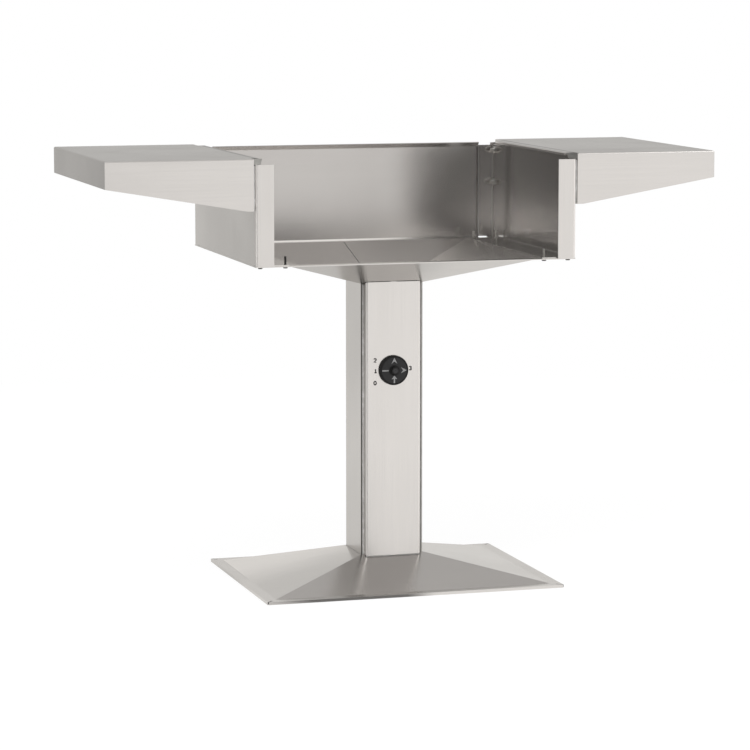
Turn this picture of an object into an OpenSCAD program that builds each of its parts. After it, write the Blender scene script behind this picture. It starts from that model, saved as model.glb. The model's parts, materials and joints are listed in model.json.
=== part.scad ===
// Park barbecue pedestal in folded stainless sheet.
// A hipped plinth carries a column, the column carries a hipped tray, and the tray carries the
// grill housing: two channel-shaped side walls and a back wall. A side table hangs on each wall.
// The origin is the centre of the ground plate's underside. X is to the right, Y to the back.

/* [Overall] */
// Height of the table tops above the ground
top_h = 900; // [860:5:950]
// Clear width between the front returns of the two side walls
opening_w = 600; // [520:10:700]
// Depth of tables and side walls, front to back
deck_d = 523; // [460:5:580]
// How far the centre of the tables lies behind the centre of the column
deck_shift = 20.5; // [0:0.5:40]

/* [Side tables] */
// Width of one side table
table_w = 300.5; // [240:0.5:360]
// Sheet thickness of the tables
table_sheet = 1.5; // [1.2:0.1:2]
// Height of the outer edge of a table
table_outer_h = 55; // [40:1:70]
// Height of the inner cheek that is bolted to the wall
table_inner_h = 104; // [98:1:130]
// Length of the level part at the inner end of the cheeks' lower edge
table_level = 13; // [8:1:40]
// Width of the returns along the lower edges
table_return = 15; // [8:1:25]
// Gap between a table and the wall, filled by spacers
table_gap = 3.5; // [2:0.5:6]
// How far the hook edge reaches over the wall
hook_w = 16; // [12:1:22]
// Height of the hook's lip, from the table top down
hook_h = 5.7; // [4:0.1:9]
// Length of the hook that is left off at the front of the table
hook_front = 25; // [20:1:40]
// Length of the hook that is left off at the back of the table
hook_back = 48; // [40:1:80]
// How far the corner plates beside the hook reach inwards from the table
corner_w = 20; // [10:1:24]
// How far the inner end of a corner plate lies behind the table's front edge
corner_d = 10.5; // [6:0.5:16]
// Height of the rear corner plate
corner_h = 5.7; // [3:0.1:9]
// Width of the stiffener under a table top
stiffener_w = 60; // [40:1:90]
// Height of that stiffener
stiffener_h = 20; // [12:1:30]

/* [Grill housing] */
// Height of the side walls' returns above the tray's rim
wall_h = 202.5; // [180:0.5:220]
// Width of the front and rear returns of a side wall
wall_return = 37.5; // [30:0.5:45]
// Sheet thickness of the housing's walls
wall_sheet = 2; // [1.5:0.5:3]
// Distance from the table tops down to the top of the returns
return_drop = 12.2; // [10:0.1:20]
// How far the raised edge of a side wall stays back from the front end
rise_front = 36; // [30:1:50]
// How far the raised edge of a side wall stays back from the rear end
rise_back = 58; // [50:1:80]
// Length left off the bottom flange at the front of a side wall
flange_end = 6; // [4:1:12]
// Length left off the bottom flange at the back of a side wall
flange_back = 36; // [30:1:44]
// Depth of the flanges that join the back wall to the side walls
joint_flange = 22; // [18:1:30]
// Length of the leaning lip along the top of the back wall
lip_len = 12; // [8:0.5:16]
// Lean of that lip towards the front
lip_lean = 45; // [30:1:60]

/* [Tray] */
// Depth of the tray below its rim
tray_h = 57.3; // [40:0.1:80]
// Width of the rim under each side wall
rim_side = 70; // [55:1:90]
// Width of the rim at the front and at the back
rim_end = 23; // [18:1:35]
// Sheet thickness of the tray
tray_sheet = 2; // [1.5:0.5:3]
// Width of the notch in each rear corner of the rim
notch_w = 20; // [12:1:30]
// Depth of that notch
notch_d = 36; // [20:1:40]
// Distance of the seam in the rear slope from the middle
seam_x = 13; // [5:1:30]
// Width of that seam
seam_w = 1.4; // [0.8:0.1:3]

/* [Column] */
// Width of the column
col_w = 134; // [120:1:150]
// Depth of the column
col_d = 116; // [100:1:130]
// Sheet thickness of the column
col_sheet = 3; // [2:0.5:4]
// Width of the front panel
panel_w = 118.6; // [104:0.1:119]
// How far the front panel stands in front of the column
panel_proud = 12; // [6:0.5:20]
// Depth of the front panel's side returns
panel_d = 40; // [30:1:45]
// Sheet thickness of the front panel
panel_sheet = 2; // [1.5:0.5:3]
// Width of the small tab at the top and at the bottom of the front panel
tab_w = 13; // [8:1:20]
// Thickness of the head plate inside the top of the column
head_plate_t = 6; // [4:1:10]

/* [Plinth] */
// Width of the plinth
plinth_w = 634; // [560:2:700]
// Depth of the plinth
plinth_d = 488; // [440:2:540]
// Height of the plinth at the column
plinth_h = 56.5; // [45:0.5:80]
// Width of the level flange round the plinth
plinth_flange = 23; // [15:1:35]
// Height of the lip that stands on the ground
plinth_lip = 6; // [5:0.5:10]
// Sheet thickness of the plinth
plinth_sheet = 3; // [2:0.5:4]
// Width of the relief slot in each corner of the flange
relief_w = 2.4; // [1.5:0.1:4]

/* [Ground plate] */
// Width of the ground plate
plate_w = 240; // [220:5:300]
// Depth of the ground plate
plate_d = 200; // [190:5:250]
// Thickness of the ground plate
plate_t = 10; // [8:1:15]
// Distance between anchor holes, left to right
anchor_x = 190; // [180:2:210]
// Distance between anchor holes, front to back
anchor_y = 156; // [150:2:170]
// Diameter of the anchor holes
anchor_d = 14; // [10:0.5:18]
// Diameter of the service hole in the ground plate
ground_service_d = 60; // [40:2:80]
// Diameter of the service hole in the tray
tray_service_d = 44; // [20:2:50]

/* [Control] */
// Height of the control knob above the ground
knob_z = 445; // [300:5:540]
// Diameter of the knob's dial
knob_d = 62; // [44:1:70]
// Thickness of the dial
knob_t = 7.2; // [6:0.1:12]
// Diameter of the hub in the middle of the knob
hub_d = 15; // [12:0.5:20]
// Height of the hub in front of the panel
hub_h = 16; // [13:0.5:24]
// Diameter of the spindle
spindle_d = 6; // [5:0.5:7]
// Radial play of the spindle in its bush
spindle_play = 0.05; // [0.02:0.01:0.1]
// Width and height of the rotary switch's housing
switch_w = 44; // [36:1:56]
// Depth of that housing
switch_d = 32; // [24:1:50]

/* [Fasteners] */
// Thread diameter of the bolts that hold a table to its wall
table_bolt = 8; // [6:1:10]
// Thread diameter of the bolts under the tray's rim
rim_bolt = 5; // [4:1:6]
// Height of those bolts above the tray's rim
rim_bolt_h = 19; // [12:1:30]
// Thread diameter of the bolts between the column and the tray
head_bolt = 8; // [6:1:10]
// Thread diameter of the bolts between the back wall and the side walls
joint_bolt = 6; // [4:1:6]
// Clearance of a bolt in its hole, on the diameter
hole_play = 1; // [0.5:0.1:1.5]

/* [Hidden] */

// Finishes
steel = [0.78, 0.77, 0.75];
steel_shade = [0.66, 0.65, 0.63];
zinc = [0.6, 0.6, 0.6];
moulding = [0.13, 0.13, 0.13];
rubber = [0.08, 0.08, 0.08];
brass = [0.75, 0.62, 0.32];

// General values
over = 1;            // overrun of every cut
round_fn = 48;       // facets on round parts
bend_steps = 5;      // facets on a bend
seat = 0.3;          // gap where a loose piece sits against another
fit = 0.4;           // gap round the column where it passes through the plinth

// Levels
return_top = top_h - return_drop;
rim_top = return_top - wall_h;
rim_under = rim_top - tray_sheet;
deck_z = rim_top - tray_h;
col_top = deck_z - tray_sheet;
hook_under = top_h - table_sheet;
rise_top = hook_under - seat;

// Plan positions
deck_front = deck_shift - deck_d / 2;
deck_back = deck_shift + deck_d / 2;
wall_x = opening_w / 2 + wall_return;
table_x = wall_x + table_gap;
table_end = table_x + table_w;
hook_x = table_x - hook_w;
panel_front = -col_d / 2 - panel_proud;
panel_back = panel_front + panel_d;

// Bolt sizes follow the thread diameter
flats_share = 1.65;      // across flats of a head or nut
head_share = 0.68;       // height of a head
nut_share = 0.8;         // height of a nut
washer_share = 2;        // diameter of a washer
washer_thick_share = 0.2;

// Rim bolts: two at the front and two at the back of each side
rim_bolt_outer = wall_x - rim_side * 0.17;
rim_bolt_inner = wall_x - rim_side * 0.91;
rim_bolt_front = deck_front + rim_end * 0.57;
rim_bolt_back = -rim_bolt_front;
rim_bolt_places = [
    for (x = [-rim_bolt_outer, -rim_bolt_inner, rim_bolt_inner, rim_bolt_outer])
    for (y = [rim_bolt_front, rim_bolt_back]) [x, y]
];
clinch_h = 1.4;
clinch_w = 3;
shoulder_step = 1.6;
rim_shoulder = rim_bolt + shoulder_step;
rim_hole = rim_shoulder + hole_play / 2;

// Table bolts, on the wall's web
table_bolt_inset = 20;
table_bolt_low = table_inner_h - 1.5 * table_bolt;
table_bolt_high = 22;
table_bolt_front = deck_front + table_bolt_inset;
table_bolt_back = deck_back - table_bolt_inset;
table_bolt_places = [
    for (y = [table_bolt_front, table_bolt_back])
    for (z = [top_h - table_bolt_low, top_h - table_bolt_high]) [y, z]
];
thread_end = 3;
table_thread_end = 6;

// Joint bolts between the back wall and the side walls
joint_shares = [0.08, 0.5, 0.9];
joint_bolt_z = [for (s = joint_shares) rim_top + wall_h * s];
joint_bolt_y = deck_back + joint_flange / 2;

// Head bolts between the column and the tray
head_plate_front = panel_back + 4;
head_plate_back = col_d / 2 - col_sheet;
head_bolt_inset = 1.6 * head_bolt;
head_bolt_x = col_w / 2 - col_sheet - head_bolt_inset;
head_bolt_places = [
    for (x = [-head_bolt_x, head_bolt_x])
    for (y = [head_plate_front + head_bolt_inset, head_plate_back - head_bolt_inset]) [x, y]
];
service_y = (head_plate_front + head_plate_back) / 2;

// Corners of a folded strip: the points on one side of its centre line
function unit(v) = v / norm(v);
function turn(a, b) = atan2(a[0] * b[1] - a[1] * b[0], a * b);
function set_back(p, i, r) = r * tan(abs(turn(p[i] - p[i - 1], p[i + 1] - p[i])) / 2);
function left_of(d) = [-d[1], d[0]];
function bend_points(p, i, t, r, side) =
    let (d0 = unit(p[i] - p[i - 1]))
    let (a = turn(d0, p[i + 1] - p[i]))
    let (c = p[i] - d0 * set_back(p, i, r) + sign(a) * r * left_of(d0))
    let (rr = sign(a) * r - side * t / 2)
    [for (k = [0:bend_steps])
        let (n = left_of(d0), w = a * k / bend_steps)
        c - rr * [n[0] * cos(w) - n[1] * sin(w), n[0] * sin(w) + n[1] * cos(w)]];
function side_points(p, t, r, side) =
    let (e = len(p) - 1)
    concat(
        [p[0] + side * t / 2 * left_of(unit(p[1] - p[0]))],
        [for (i = [1:1:e - 1]) each bend_points(p, i, t, r, side)],
        [p[e] + side * t / 2 * left_of(unit(p[e] - p[e - 1]))]
    );
function reversed(v) = [for (i = [len(v) - 1:-1:0]) v[i]];

// Section of a folded strip of sheet along a centre line, with inside bend radius r
module folded(p, t, r) {
    polygon(concat(side_points(p, t, r + t / 2, 1), reversed(side_points(p, t, r + t / 2, -1))));
}

// Corner arc of an outline, from angle a0 to a1 about c
function arc(c, r, a0, a1) =
    [for (k = [0:bend_steps]) let (w = a0 + (a1 - a0) * k / bend_steps) c + r * [cos(w), sin(w)]];

// Solid from a section in XZ, drawn along Y from y0 to y1
module along_y(y0, y1) {
    translate([0, y1, 0]) rotate([90, 0, 0]) linear_extrude(y1 - y0) children();
}

// Solid from a section in YZ, drawn along X from x0 to x1
module along_x(x0, x1) {
    translate([x0, 0, 0]) rotate([90, 0, 90]) linear_extrude(x1 - x0) children();
}

// Cylinder along X, along Y or along Z, from its start point
module rod_x(p, d, h) { translate(p) rotate([0, 90, 0]) cylinder(d = d, h = h, $fn = round_fn); }
module rod_y(p, d, h) { translate(p) rotate([-90, 0, 0]) cylinder(d = d, h = h, $fn = round_fn); }
module rod_z(p, d, h) { translate(p) cylinder(d = d, h = h, $fn = round_fn); }

// Hexagon bolt with its head's underside at the origin and its shank along +Z
module hex_bolt(d, length) {
    flats = d * flats_share;
    head = d * head_share;
    chamfer = d * 0.08;
    intersection() {
        translate([0, 0, -head]) cylinder(d = flats / cos(30), h = head, $fn = 6);
        rotate_extrude($fn = round_fn) polygon([
            [0, -head], [flats / 2, -head], [flats / cos(30) / 2 + over, -head / 2],
            [flats / cos(30) / 2 + over, 0], [0, 0]
        ]);
    }
    rotate_extrude($fn = round_fn) polygon([
        [0, -head / 2], [d / 2, -head / 2], [d / 2, length - chamfer], [d / 2 - chamfer, length], [0, length]
    ]);
}

// Hexagon nut on its thread, with its seat at the origin, standing along +Z
module hex_nut(d) {
    flats = d * flats_share;
    difference() {
        intersection() {
            cylinder(d = flats / cos(30), h = d * nut_share, $fn = 6);
            rotate_extrude($fn = round_fn) polygon([
                [0, 0], [flats / cos(30) / 2 + over, 0], [flats / cos(30) / 2 + over, d * nut_share / 2],
                [flats / 2, d * nut_share], [0, d * nut_share]
            ]);
        }
        translate([0, 0, -over]) cylinder(d = d, h = d + 2 * over, $fn = round_fn);
    }
}

// Ring along +Z
module ring(outer_d, inner_d, h) {
    difference() {
        cylinder(d = outer_d, h = h, $fn = round_fn);
        translate([0, 0, -over]) cylinder(d = inner_d, h = h + 2 * over, $fn = round_fn);
    }
}

// Hipped sheet: two crossing roof sections, each [half width, flange, start z, rise, top half width]
// and t, the distance by which the face is offset square to the sheet
function roof(half, flange, lip, top_half, top_z, t) =
    let (a = atan((top_z - lip) / (half - flange - top_half)))
    let (s = t * tan(a / 2))
    [
        [-half + t, 0], [-half + t, lip - t], [-half + flange + s, lip - t], [-top_half + s, top_z - t],
        [top_half - s, top_z - t], [half - flange - s, lip - t], [half - t, lip - t], [half - t, 0]
    ];
function shifted(p, d) = [for (q = p) q + d];
function dropped(p, z) = [for (q = p) [q[0], q[1] > 0 ? q[1] : z]];

// Plinth, from its roof sections

module plinth_body(t, foot) {
    intersection() {
        along_y(-plinth_d / 2, plinth_d / 2)
            polygon(dropped(roof(plinth_w / 2, plinth_flange, plinth_lip, col_w / 2, plinth_h, t), foot));
        along_x(-plinth_w / 2, plinth_w / 2)
            polygon(dropped(roof(plinth_d / 2, plinth_flange, plinth_lip, col_d / 2, plinth_h, t), foot));
    }
}

module plinth_cover() {
    color(steel) difference() {
        plinth_body(0, 0);
        plinth_body(plinth_sheet, -over);
        translate([-col_w / 2 - fit, -col_d / 2 - fit, 0])
            cube([col_w + 2 * fit, col_d + 2 * fit, plinth_h + over]);
        for (x = [-1, 1]) for (y = [-1, 1])
            translate([x * plinth_w / 2, y * plinth_d / 2, 0])
                rotate([0, 0, atan2(-y, -x)])
                translate([-over, -relief_w / 2, -over])
                cube([plinth_flange * 0.75 + over, relief_w, plinth_lip + 2 * over]);
    }
}

// Ground plate and its ribs

module ground_plate() {
    color(steel_shade) difference() {
        translate([-plate_w / 2, -plate_d / 2, 0]) cube([plate_w, plate_d, plate_t]);
        for (x = [-1, 1]) for (y = [-1, 1])
            rod_z([x * anchor_x / 2, y * anchor_y / 2, -over], anchor_d, plate_t + 2 * over);
        rod_z([0, 0, -over], ground_service_d, plate_t + 2 * over);
    }
}

rib_w = 32;
rib_h = 28;
rib_t = 5;
rib_toe = 5;

module rib_section() {
    polygon([[0, 0], [rib_w, 0], [rib_w, rib_toe], [rib_toe, rib_h], [0, rib_h]]);
}

module foot_gussets() {
    color(steel_shade) translate([0, 0, plate_t]) {
        for (x = [0, 1]) mirror([x, 0, 0])
            translate([col_w / 2, 0, 0]) along_y(-rib_t / 2, rib_t / 2) rib_section();
        for (x = [-1, 1])
            translate([x * col_w / 4, col_d / 2, 0]) along_x(-rib_t / 2, rib_t / 2) rib_section();
    }
}

// Column

module column_channel() {
    x = (col_w - col_sheet) / 2;
    y = (col_d - col_sheet) / 2;
    color(steel) translate([0, 0, plate_t]) linear_extrude(col_top - plate_t)
        folded([[-x, -col_d / 2], [-x, y], [x, y], [x, -col_d / 2]], col_sheet, col_sheet);
}

module head_holes(z, h) {
    for (p = head_bolt_places) rod_z([p[0], p[1], z], head_bolt + hole_play, h);
    rod_z([0, service_y, z], tray_service_d + 2 * grommet_wall, h);
}

module column_head_plate() {
    corner = 2 * col_sheet;
    w = col_w / 2 - col_sheet;
    color(steel_shade) difference() {
        translate([0, 0, col_top - head_plate_t]) linear_extrude(head_plate_t) polygon([
            [-w, head_plate_front], [w, head_plate_front], [w, head_plate_back - corner],
            [w - corner, head_plate_back], [corner - w, head_plate_back], [-w, head_plate_back - corner]
        ]);
        head_holes(col_top - head_plate_t - over, head_plate_t + 2 * over);
    }
}

head_washer_t = head_bolt * washer_thick_share;
head_grip = tray_sheet + head_plate_t + 2 * head_washer_t;

module head_bolts() {
    color(zinc) for (p = head_bolt_places)
        translate([p[0], p[1], deck_z + head_washer_t]) mirror([0, 0, 1])
        hex_bolt(head_bolt, head_grip + head_bolt * nut_share + thread_end);
}

module head_washers() {
    color(zinc) for (p = head_bolt_places) {
        translate([p[0], p[1], deck_z])
            ring(head_bolt * washer_share, head_bolt + hole_play / 2, head_washer_t);
        translate([p[0], p[1], col_top - head_plate_t - head_washer_t])
            ring(head_bolt * washer_share, head_bolt + hole_play / 2, head_washer_t);
    }
}

module head_nuts() {
    color(zinc) for (p = head_bolt_places)
        translate([p[0], p[1], col_top - head_plate_t - head_washer_t]) mirror([0, 0, 1])
        hex_nut(head_bolt);
}

// Front panel: a shallow channel that nests in the mouth of the column

panel_gap = 0.8;
panel_lift = 2.4;
tab_h = 1;
tab_t = 1;
bush_d = 10;

// Outline of the panel seen from the side, standing off the tray by top and off the plinth by bottom
function panel_side(top, bottom) =
    let (b = bowl(deck_front, deck_back, rim_end, rim_end, col_d / 2, rim_top, deck_z, tray_sheet))
    let (q = roof(plinth_d / 2, plinth_flange, plinth_lip, col_d / 2, plinth_h, 0))
    [
        q[2] + [0, bottom], q[3] + [0, bottom], [panel_back + over, plinth_h + bottom],
        [panel_back + over, col_top - top], b[1] - [0, top], b[0] - [0, top]
    ];

module column_front_panel() {
    x = (panel_w - panel_sheet) / 2;
    y = panel_front + panel_sheet / 2;
    color(steel) difference() {
        union() {
            intersection() {
                translate([0, 0, plinth_lip]) linear_extrude(rim_top - plinth_lip)
                    folded([[-x, panel_back], [-x, y], [x, y], [x, panel_back]], panel_sheet, panel_sheet);
                along_x(-panel_w, panel_w) polygon(panel_side(panel_gap, panel_lift));
            }
            intersection() {
                translate([-tab_w / 2, panel_front, plinth_lip]) cube([tab_w, tab_t, rim_top - plinth_lip]);
                along_x(-panel_w, panel_w) polygon(panel_side(panel_gap - tab_h / 2, panel_lift - tab_h));
            }
        }
        rod_y([0, panel_front - over, knob_z], bush_d + hole_play / 2, panel_sheet + 2 * over);
    }
}

// Spring clips that hold the panel's returns inside the column
clip_t = 1;
clip_h = 24;
clip_len = 11;
clip_room = (col_w - panel_w) / 2 - col_sheet;
clip_inset = 90;
clip_levels = [plinth_h + clip_inset, col_top - clip_inset];

module panel_clips() {
    x0 = panel_w / 2 + clip_t / 2;
    x1 = panel_w / 2 + clip_room - clip_t / 2;
    y0 = panel_back - clip_len;
    y1 = panel_back;
    color(zinc) for (z = clip_levels) for (m = [0, 1]) mirror([m, 0, 0])
        translate([0, 0, z - clip_h / 2]) linear_extrude(clip_h)
        folded([[x0, y1], [x0, y0], [x1, y0], [x1, y1]], clip_t, clip_t / 2);
}

// Tray: a hipped bowl with a level rim

function bowl(lo, hi, rim_lo, rim_hi, half, top_z, bottom_z, t) =
    let (a = atan((top_z - bottom_z) / (-half - lo - rim_lo)))
    let (b = atan((top_z - bottom_z) / (hi - rim_hi - half)))
    let (s = t * tan(a / 2), u = t * tan(b / 2))
    [
        [lo + rim_lo + s, top_z - t], [-half + s, bottom_z - t], [half - u, bottom_z - t], [hi - rim_hi - u, top_z - t]
    ];

module tray_under() {
    intersection() {
        along_y(deck_front, deck_back) polygon(concat([[-wall_x, rim_top], [-wall_x, rim_under]],
            bowl(-wall_x, wall_x, rim_side, rim_side, col_w / 2, rim_top, deck_z, tray_sheet),
            [[wall_x, rim_under], [wall_x, rim_top]]));
        along_x(-wall_x, wall_x) polygon(concat([[deck_front, rim_top], [deck_front, rim_under]],
            bowl(deck_front, deck_back, rim_end, rim_end, col_d / 2, rim_top, deck_z, tray_sheet),
            [[deck_back, rim_under], [deck_back, rim_top]]));
    }
}

// Hollow of the bowl, carried on above the rim
module tray_hollow() {
    x = bowl(-wall_x, wall_x, rim_side, rim_side, col_w / 2, rim_top, deck_z, 0);
    y = bowl(deck_front, deck_back, rim_end, rim_end, col_d / 2, rim_top, deck_z, 0);
    rise_x = (x[0] - x[1]) * over / tray_h;
    rise_y0 = (y[0] - y[1]) * over / tray_h;
    rise_y1 = (y[3] - y[2]) * over / tray_h;
    intersection() {
        along_y(deck_front - over, deck_back + over)
            polygon([x[0] + rise_x, x[1], x[2], x[3] + [-rise_x[0], rise_x[1]]]);
        along_x(-wall_x - over, wall_x + over) polygon([y[0] + rise_y0, y[1], y[2], y[3] + rise_y1]);
    }
}

module support_tray() {
    seam_depth = tray_sheet / 2;
    y0 = col_d / 2;
    y1 = deck_back - rim_end;
    color(steel) difference() {
        tray_under();
        tray_hollow();
        head_holes(deck_z - tray_sheet - over, tray_sheet + 2 * over);
        for (p = rim_bolt_places)
            rod_z([p[0], p[1], rim_under - over], rim_hole, tray_sheet + 2 * over);
        for (x = [-1, 1])
            translate([x * (opening_w / 2 + wall_sheet + notch_w / 2), deck_back - notch_d / 2 + over / 2, rim_top])
                cube([notch_w, notch_d + over, 2 * tray_sheet + 2 * over], center = true);
        along_x(-seam_x - seam_w / 2, -seam_x + seam_w / 2) polygon([
            [y0, deck_z - seam_depth], [y1, rim_top - seam_depth], [y1, rim_top + over], [y0, deck_z + over]
        ]);
    }
}

grommet_wall = 2;
grommet_flange = 4;

module service_grommet() {
    r = tray_service_d / 2;
    under = col_top - head_plate_t;
    color(rubber) translate([0, service_y, 0]) rotate_extrude($fn = round_fn) polygon([
        [r, under - grommet_wall], [r + grommet_wall + grommet_flange / 2, under - grommet_wall],
        [r + grommet_wall + grommet_flange / 2, under], [r + grommet_wall, under], [r + grommet_wall, deck_z], [r + grommet_wall + grommet_flange, deck_z],
        [r + grommet_wall + grommet_flange, deck_z + grommet_wall / 2],
        [r + grommet_wall, deck_z + grommet_wall], [r, deck_z + grommet_wall]
    ]);
}

// Bolts with a shoulder that ends flush with the wall's flange; the inner row stays free as studs
module rim_bolts() {
    color(zinc) for (p = rim_bolt_places) translate([p[0], p[1], rim_under]) {
        hex_bolt(rim_bolt, tray_sheet + rim_bolt_h);
        rod_z([0, 0, -over], rim_shoulder, tray_sheet + wall_sheet + over);
    }
}

module rim_clinch_nuts() {
    color(zinc) for (x = [-rim_bolt_outer, rim_bolt_outer]) for (y = [rim_bolt_front, rim_bolt_back])
        translate([x, y, rim_top + wall_sheet]) ring(rim_bolt + clinch_w, rim_bolt, clinch_h);
}

// Side walls: a channel with front and rear returns, a bottom flange, a raised upper edge that the
// table hooks over, and a rear joint flange

module side_wall() {
    s = wall_sheet;
    xw = wall_x - s / 2;
    xj = opening_w / 2 + s / 2;
    difference() {
        union() {
            translate([0, 0, rim_top]) linear_extrude(wall_h) folded([
                [opening_w / 2, deck_front + s / 2], [xw, deck_front + s / 2],
                [xw, deck_back - s / 2], [xj, deck_back - s / 2], [xj, deck_back + joint_flange]
            ], s, s);
            along_y(deck_front + flange_end, deck_back - flange_back)
                folded([[wall_x - rim_side, rim_top + s / 2], [xw, rim_top + s / 2], [xw, rim_top + 4 * s]], s, s);
            along_x(wall_x - s, wall_x) polygon([
                [deck_front + rise_front - rise_top + return_top, return_top - s],
                [deck_back - rise_back + rise_top - return_top, return_top - s],
                [deck_back - rise_back, rise_top], [deck_front + rise_front, rise_top]
            ]);
        }
        // Corner of the web between the ends of the bottom flange, taken off outside the bend
        difference() {
            translate([wall_x - 2 * s, deck_front + flange_end, rim_top - over])
                cube([2 * s + over, deck_d - flange_end - flange_back, 2 * s + over]);
            along_y(deck_front, deck_back)
                folded([[wall_x - rim_side, rim_top + s / 2], [xw, rim_top + s / 2], [xw, rim_top + 4 * s]], s, s);
        }
        // Relief over the notch in the tray's rim
        translate([opening_w / 2 + s, deck_back - 2 * s, rim_top - over]) cube([notch_w, 2 * s + over, s + over]);
        for (p = table_bolt_places)
            rod_x([wall_x - s - over, p[0], p[1]], table_bolt + hole_play, s + 2 * over);
        for (x = [rim_bolt_inner, rim_bolt_outer]) for (y = [rim_bolt_front, rim_bolt_back])
            rod_z([x, y, rim_top - over], rim_hole, s + 2 * over);
        for (z = joint_bolt_z)
            rod_x([opening_w / 2 - over, joint_bolt_y, z], joint_bolt + hole_play / 2, s + 2 * over);
    }
}

module side_wall_right() { color(steel) side_wall(); }
module side_wall_left() { color(steel) mirror([1, 0, 0]) side_wall(); }

// Back wall: flanged at both ends, with a leaning lip along its upper edge

lip_start = 0.2;         // where the full length of the lip begins, as a share of its height

module back_wall() {
    s = wall_sheet;
    x = opening_w / 2;
    lip = lip_len * [-sin(lip_lean), cos(lip_lean)];
    y = deck_back - s / 2;
    color(steel) difference() {
        union() {
            translate([0, 0, rim_top]) linear_extrude(wall_h - s) folded([
                [-x + s / 2, deck_back + joint_flange], [-x + s / 2, y],
                [x - s / 2, y], [x - s / 2, deck_back + joint_flange]
            ], s, s);
            along_x(2 * s - x, x - 2 * s)
                folded([[y, return_top - 4 * s], [y, return_top - s], [y + lip[0], return_top - s + lip[1]]], s, s / 2);
            along_x(-x, x)
                folded([[y + lip[0] * lip_start, return_top - s + lip[1] * lip_start],
                    [y + lip[0], return_top - s + lip[1]]], s, 0);
        }
        for (z = joint_bolt_z)
            rod_x([-x - over, joint_bolt_y, z], joint_bolt + hole_play / 2, opening_w + 2 * over);
    }
}

// Joint bolts run outwards through both flanges
module joint_bolts() {
    x = opening_w / 2 - wall_sheet;
    color(zinc) for (m = [0, 1]) mirror([m, 0, 0]) for (z = joint_bolt_z)
        translate([x, joint_bolt_y, z]) rotate([0, 90, 0])
        hex_bolt(joint_bolt, 2 * wall_sheet + joint_bolt * nut_share + thread_end);
}

module joint_nuts() {
    color(zinc) for (m = [0, 1]) mirror([m, 0, 0]) for (z = joint_bolt_z)
        translate([opening_w / 2 + wall_sheet, joint_bolt_y, z]) rotate([0, 90, 0]) hex_nut(joint_bolt);
}

// Side tables

table_bend = 3;

// Table outline seen from the front, inset by t from its faces and with its foot lowered by d
function table_front(t, d) = concat(
    [[table_x + t, top_h - table_inner_h - d], [table_x + table_level, top_h - table_inner_h - d],
     [table_end - t, top_h - table_outer_h - d]],
    arc([table_end - table_bend, top_h - table_bend], table_bend - t, 0, 90),
    [[table_x + t, top_h - t]]
);
function table_side(t, d) = concat(
    [[deck_front + t, top_h - table_inner_h - d], [deck_back - t, top_h - table_inner_h - d]],
    arc([deck_back - table_bend, top_h - table_bend], table_bend - t, 0, 90),
    arc([deck_front + table_bend, top_h - table_bend], table_bend - t, 90, 180)
);

module table_block(t, d) {
    intersection() {
        along_y(deck_front, deck_back) polygon(table_front(t, d));
        along_x(table_x, table_end) polygon(table_side(t, d));
    }
}

corner_bevel = 4.5;

// Upright plate from a corner p of the table, reaching w inwards and d towards the middle
module corner_plate(p, w, d, h, bevel) {
    z = return_top + seat;
    x = table_x - w;
    y = p[1] + d;
    difference() {
        translate([0, 0, z]) linear_extrude(h - seat) folded([p, [x, y]], table_sheet, 0);
        along_y(min(p[1], y) - over, max(p[1], y) + over)
            polygon([[x - over, z - over], [x + bevel, z - over], [x, z + h], [x - over, z + h]]);
    }
}

module table() {
    t = table_sheet;
    z_in = top_h - table_inner_h;
    z_out = top_h - table_outer_h;
    x_level = table_x + table_level;
    slope = (z_out - z_in) / (table_end - x_level);
    y_in = [deck_front + t / 2, deck_back - t / 2 - table_return + t / 2];
    hook_from = deck_front + hook_front;
    hook_to = deck_back - hook_back;
    difference() {
        union() {
            difference() {
                table_block(0, 0);
                table_block(t, 2 * table_inner_h);
            }
            // Returns along the four lower edges
            for (y = y_in) along_y(y, y + table_return) polygon([
                [table_x + t / 2, z_in], [x_level, z_in], [table_end - t / 2, z_out - slope * t / 2],
                [table_end - t / 2, z_out + t], [x_level, z_in + t], [table_x + t / 2, z_in + t]
            ]);
            translate([table_x + t / 2, deck_front + t / 2, z_in])
                cube([table_level - t / 2, deck_d - t, t]);
            along_y(deck_front + t / 2, deck_back - t / 2) polygon([
                [table_end - table_return, z_out - slope * table_return],
                [table_end - t / 2, z_out - slope * t / 2],
                [table_end - t / 2, z_out + t],
                [table_end - table_return, z_out - slope * table_return + t]
            ]);
            // Hook edge over the wall, with its lip
            along_y(hook_from, hook_to) folded([
                [table_x + t, top_h - t / 2], [hook_x + t / 2, top_h - t / 2], [hook_x + t / 2, top_h - hook_h]
            ], t, t / 2);
            // Slanted corner plates in front of the hook and behind it
            corner_plate([table_x + t, deck_front + t / 2], corner_w, corner_d, top_h - return_top, corner_bevel);
            corner_plate([table_x + t, deck_back - t / 2], corner_w - corner_bevel, -corner_d, corner_h, 0);
        }
        for (p = table_bolt_places)
            rod_x([table_x - over, p[0], p[1]], table_bolt + hole_play, t + 2 * over);
    }
}

module table_right() { color(steel) table(); }
module table_left() { color(steel) mirror([1, 0, 0]) table(); }

// Hat-section stiffener under a table top
module table_stiffener() {
    t = table_sheet;
    x = table_x + table_w / 2;
    foot = stiffener_w / 4;
    z = top_h - t;
    along_y(deck_front + table_return + 2 * t, deck_back - table_return - 2 * t) folded([
        [x - stiffener_w / 2, z - t / 2], [x - stiffener_w / 2 + foot, z - t / 2],
        [x - stiffener_w / 2 + foot, z - stiffener_h], [x + stiffener_w / 2 - foot, z - stiffener_h],
        [x + stiffener_w / 2 - foot, z - t / 2], [x + stiffener_w / 2, z - t / 2]
    ], t, t / 2);
}

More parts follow.
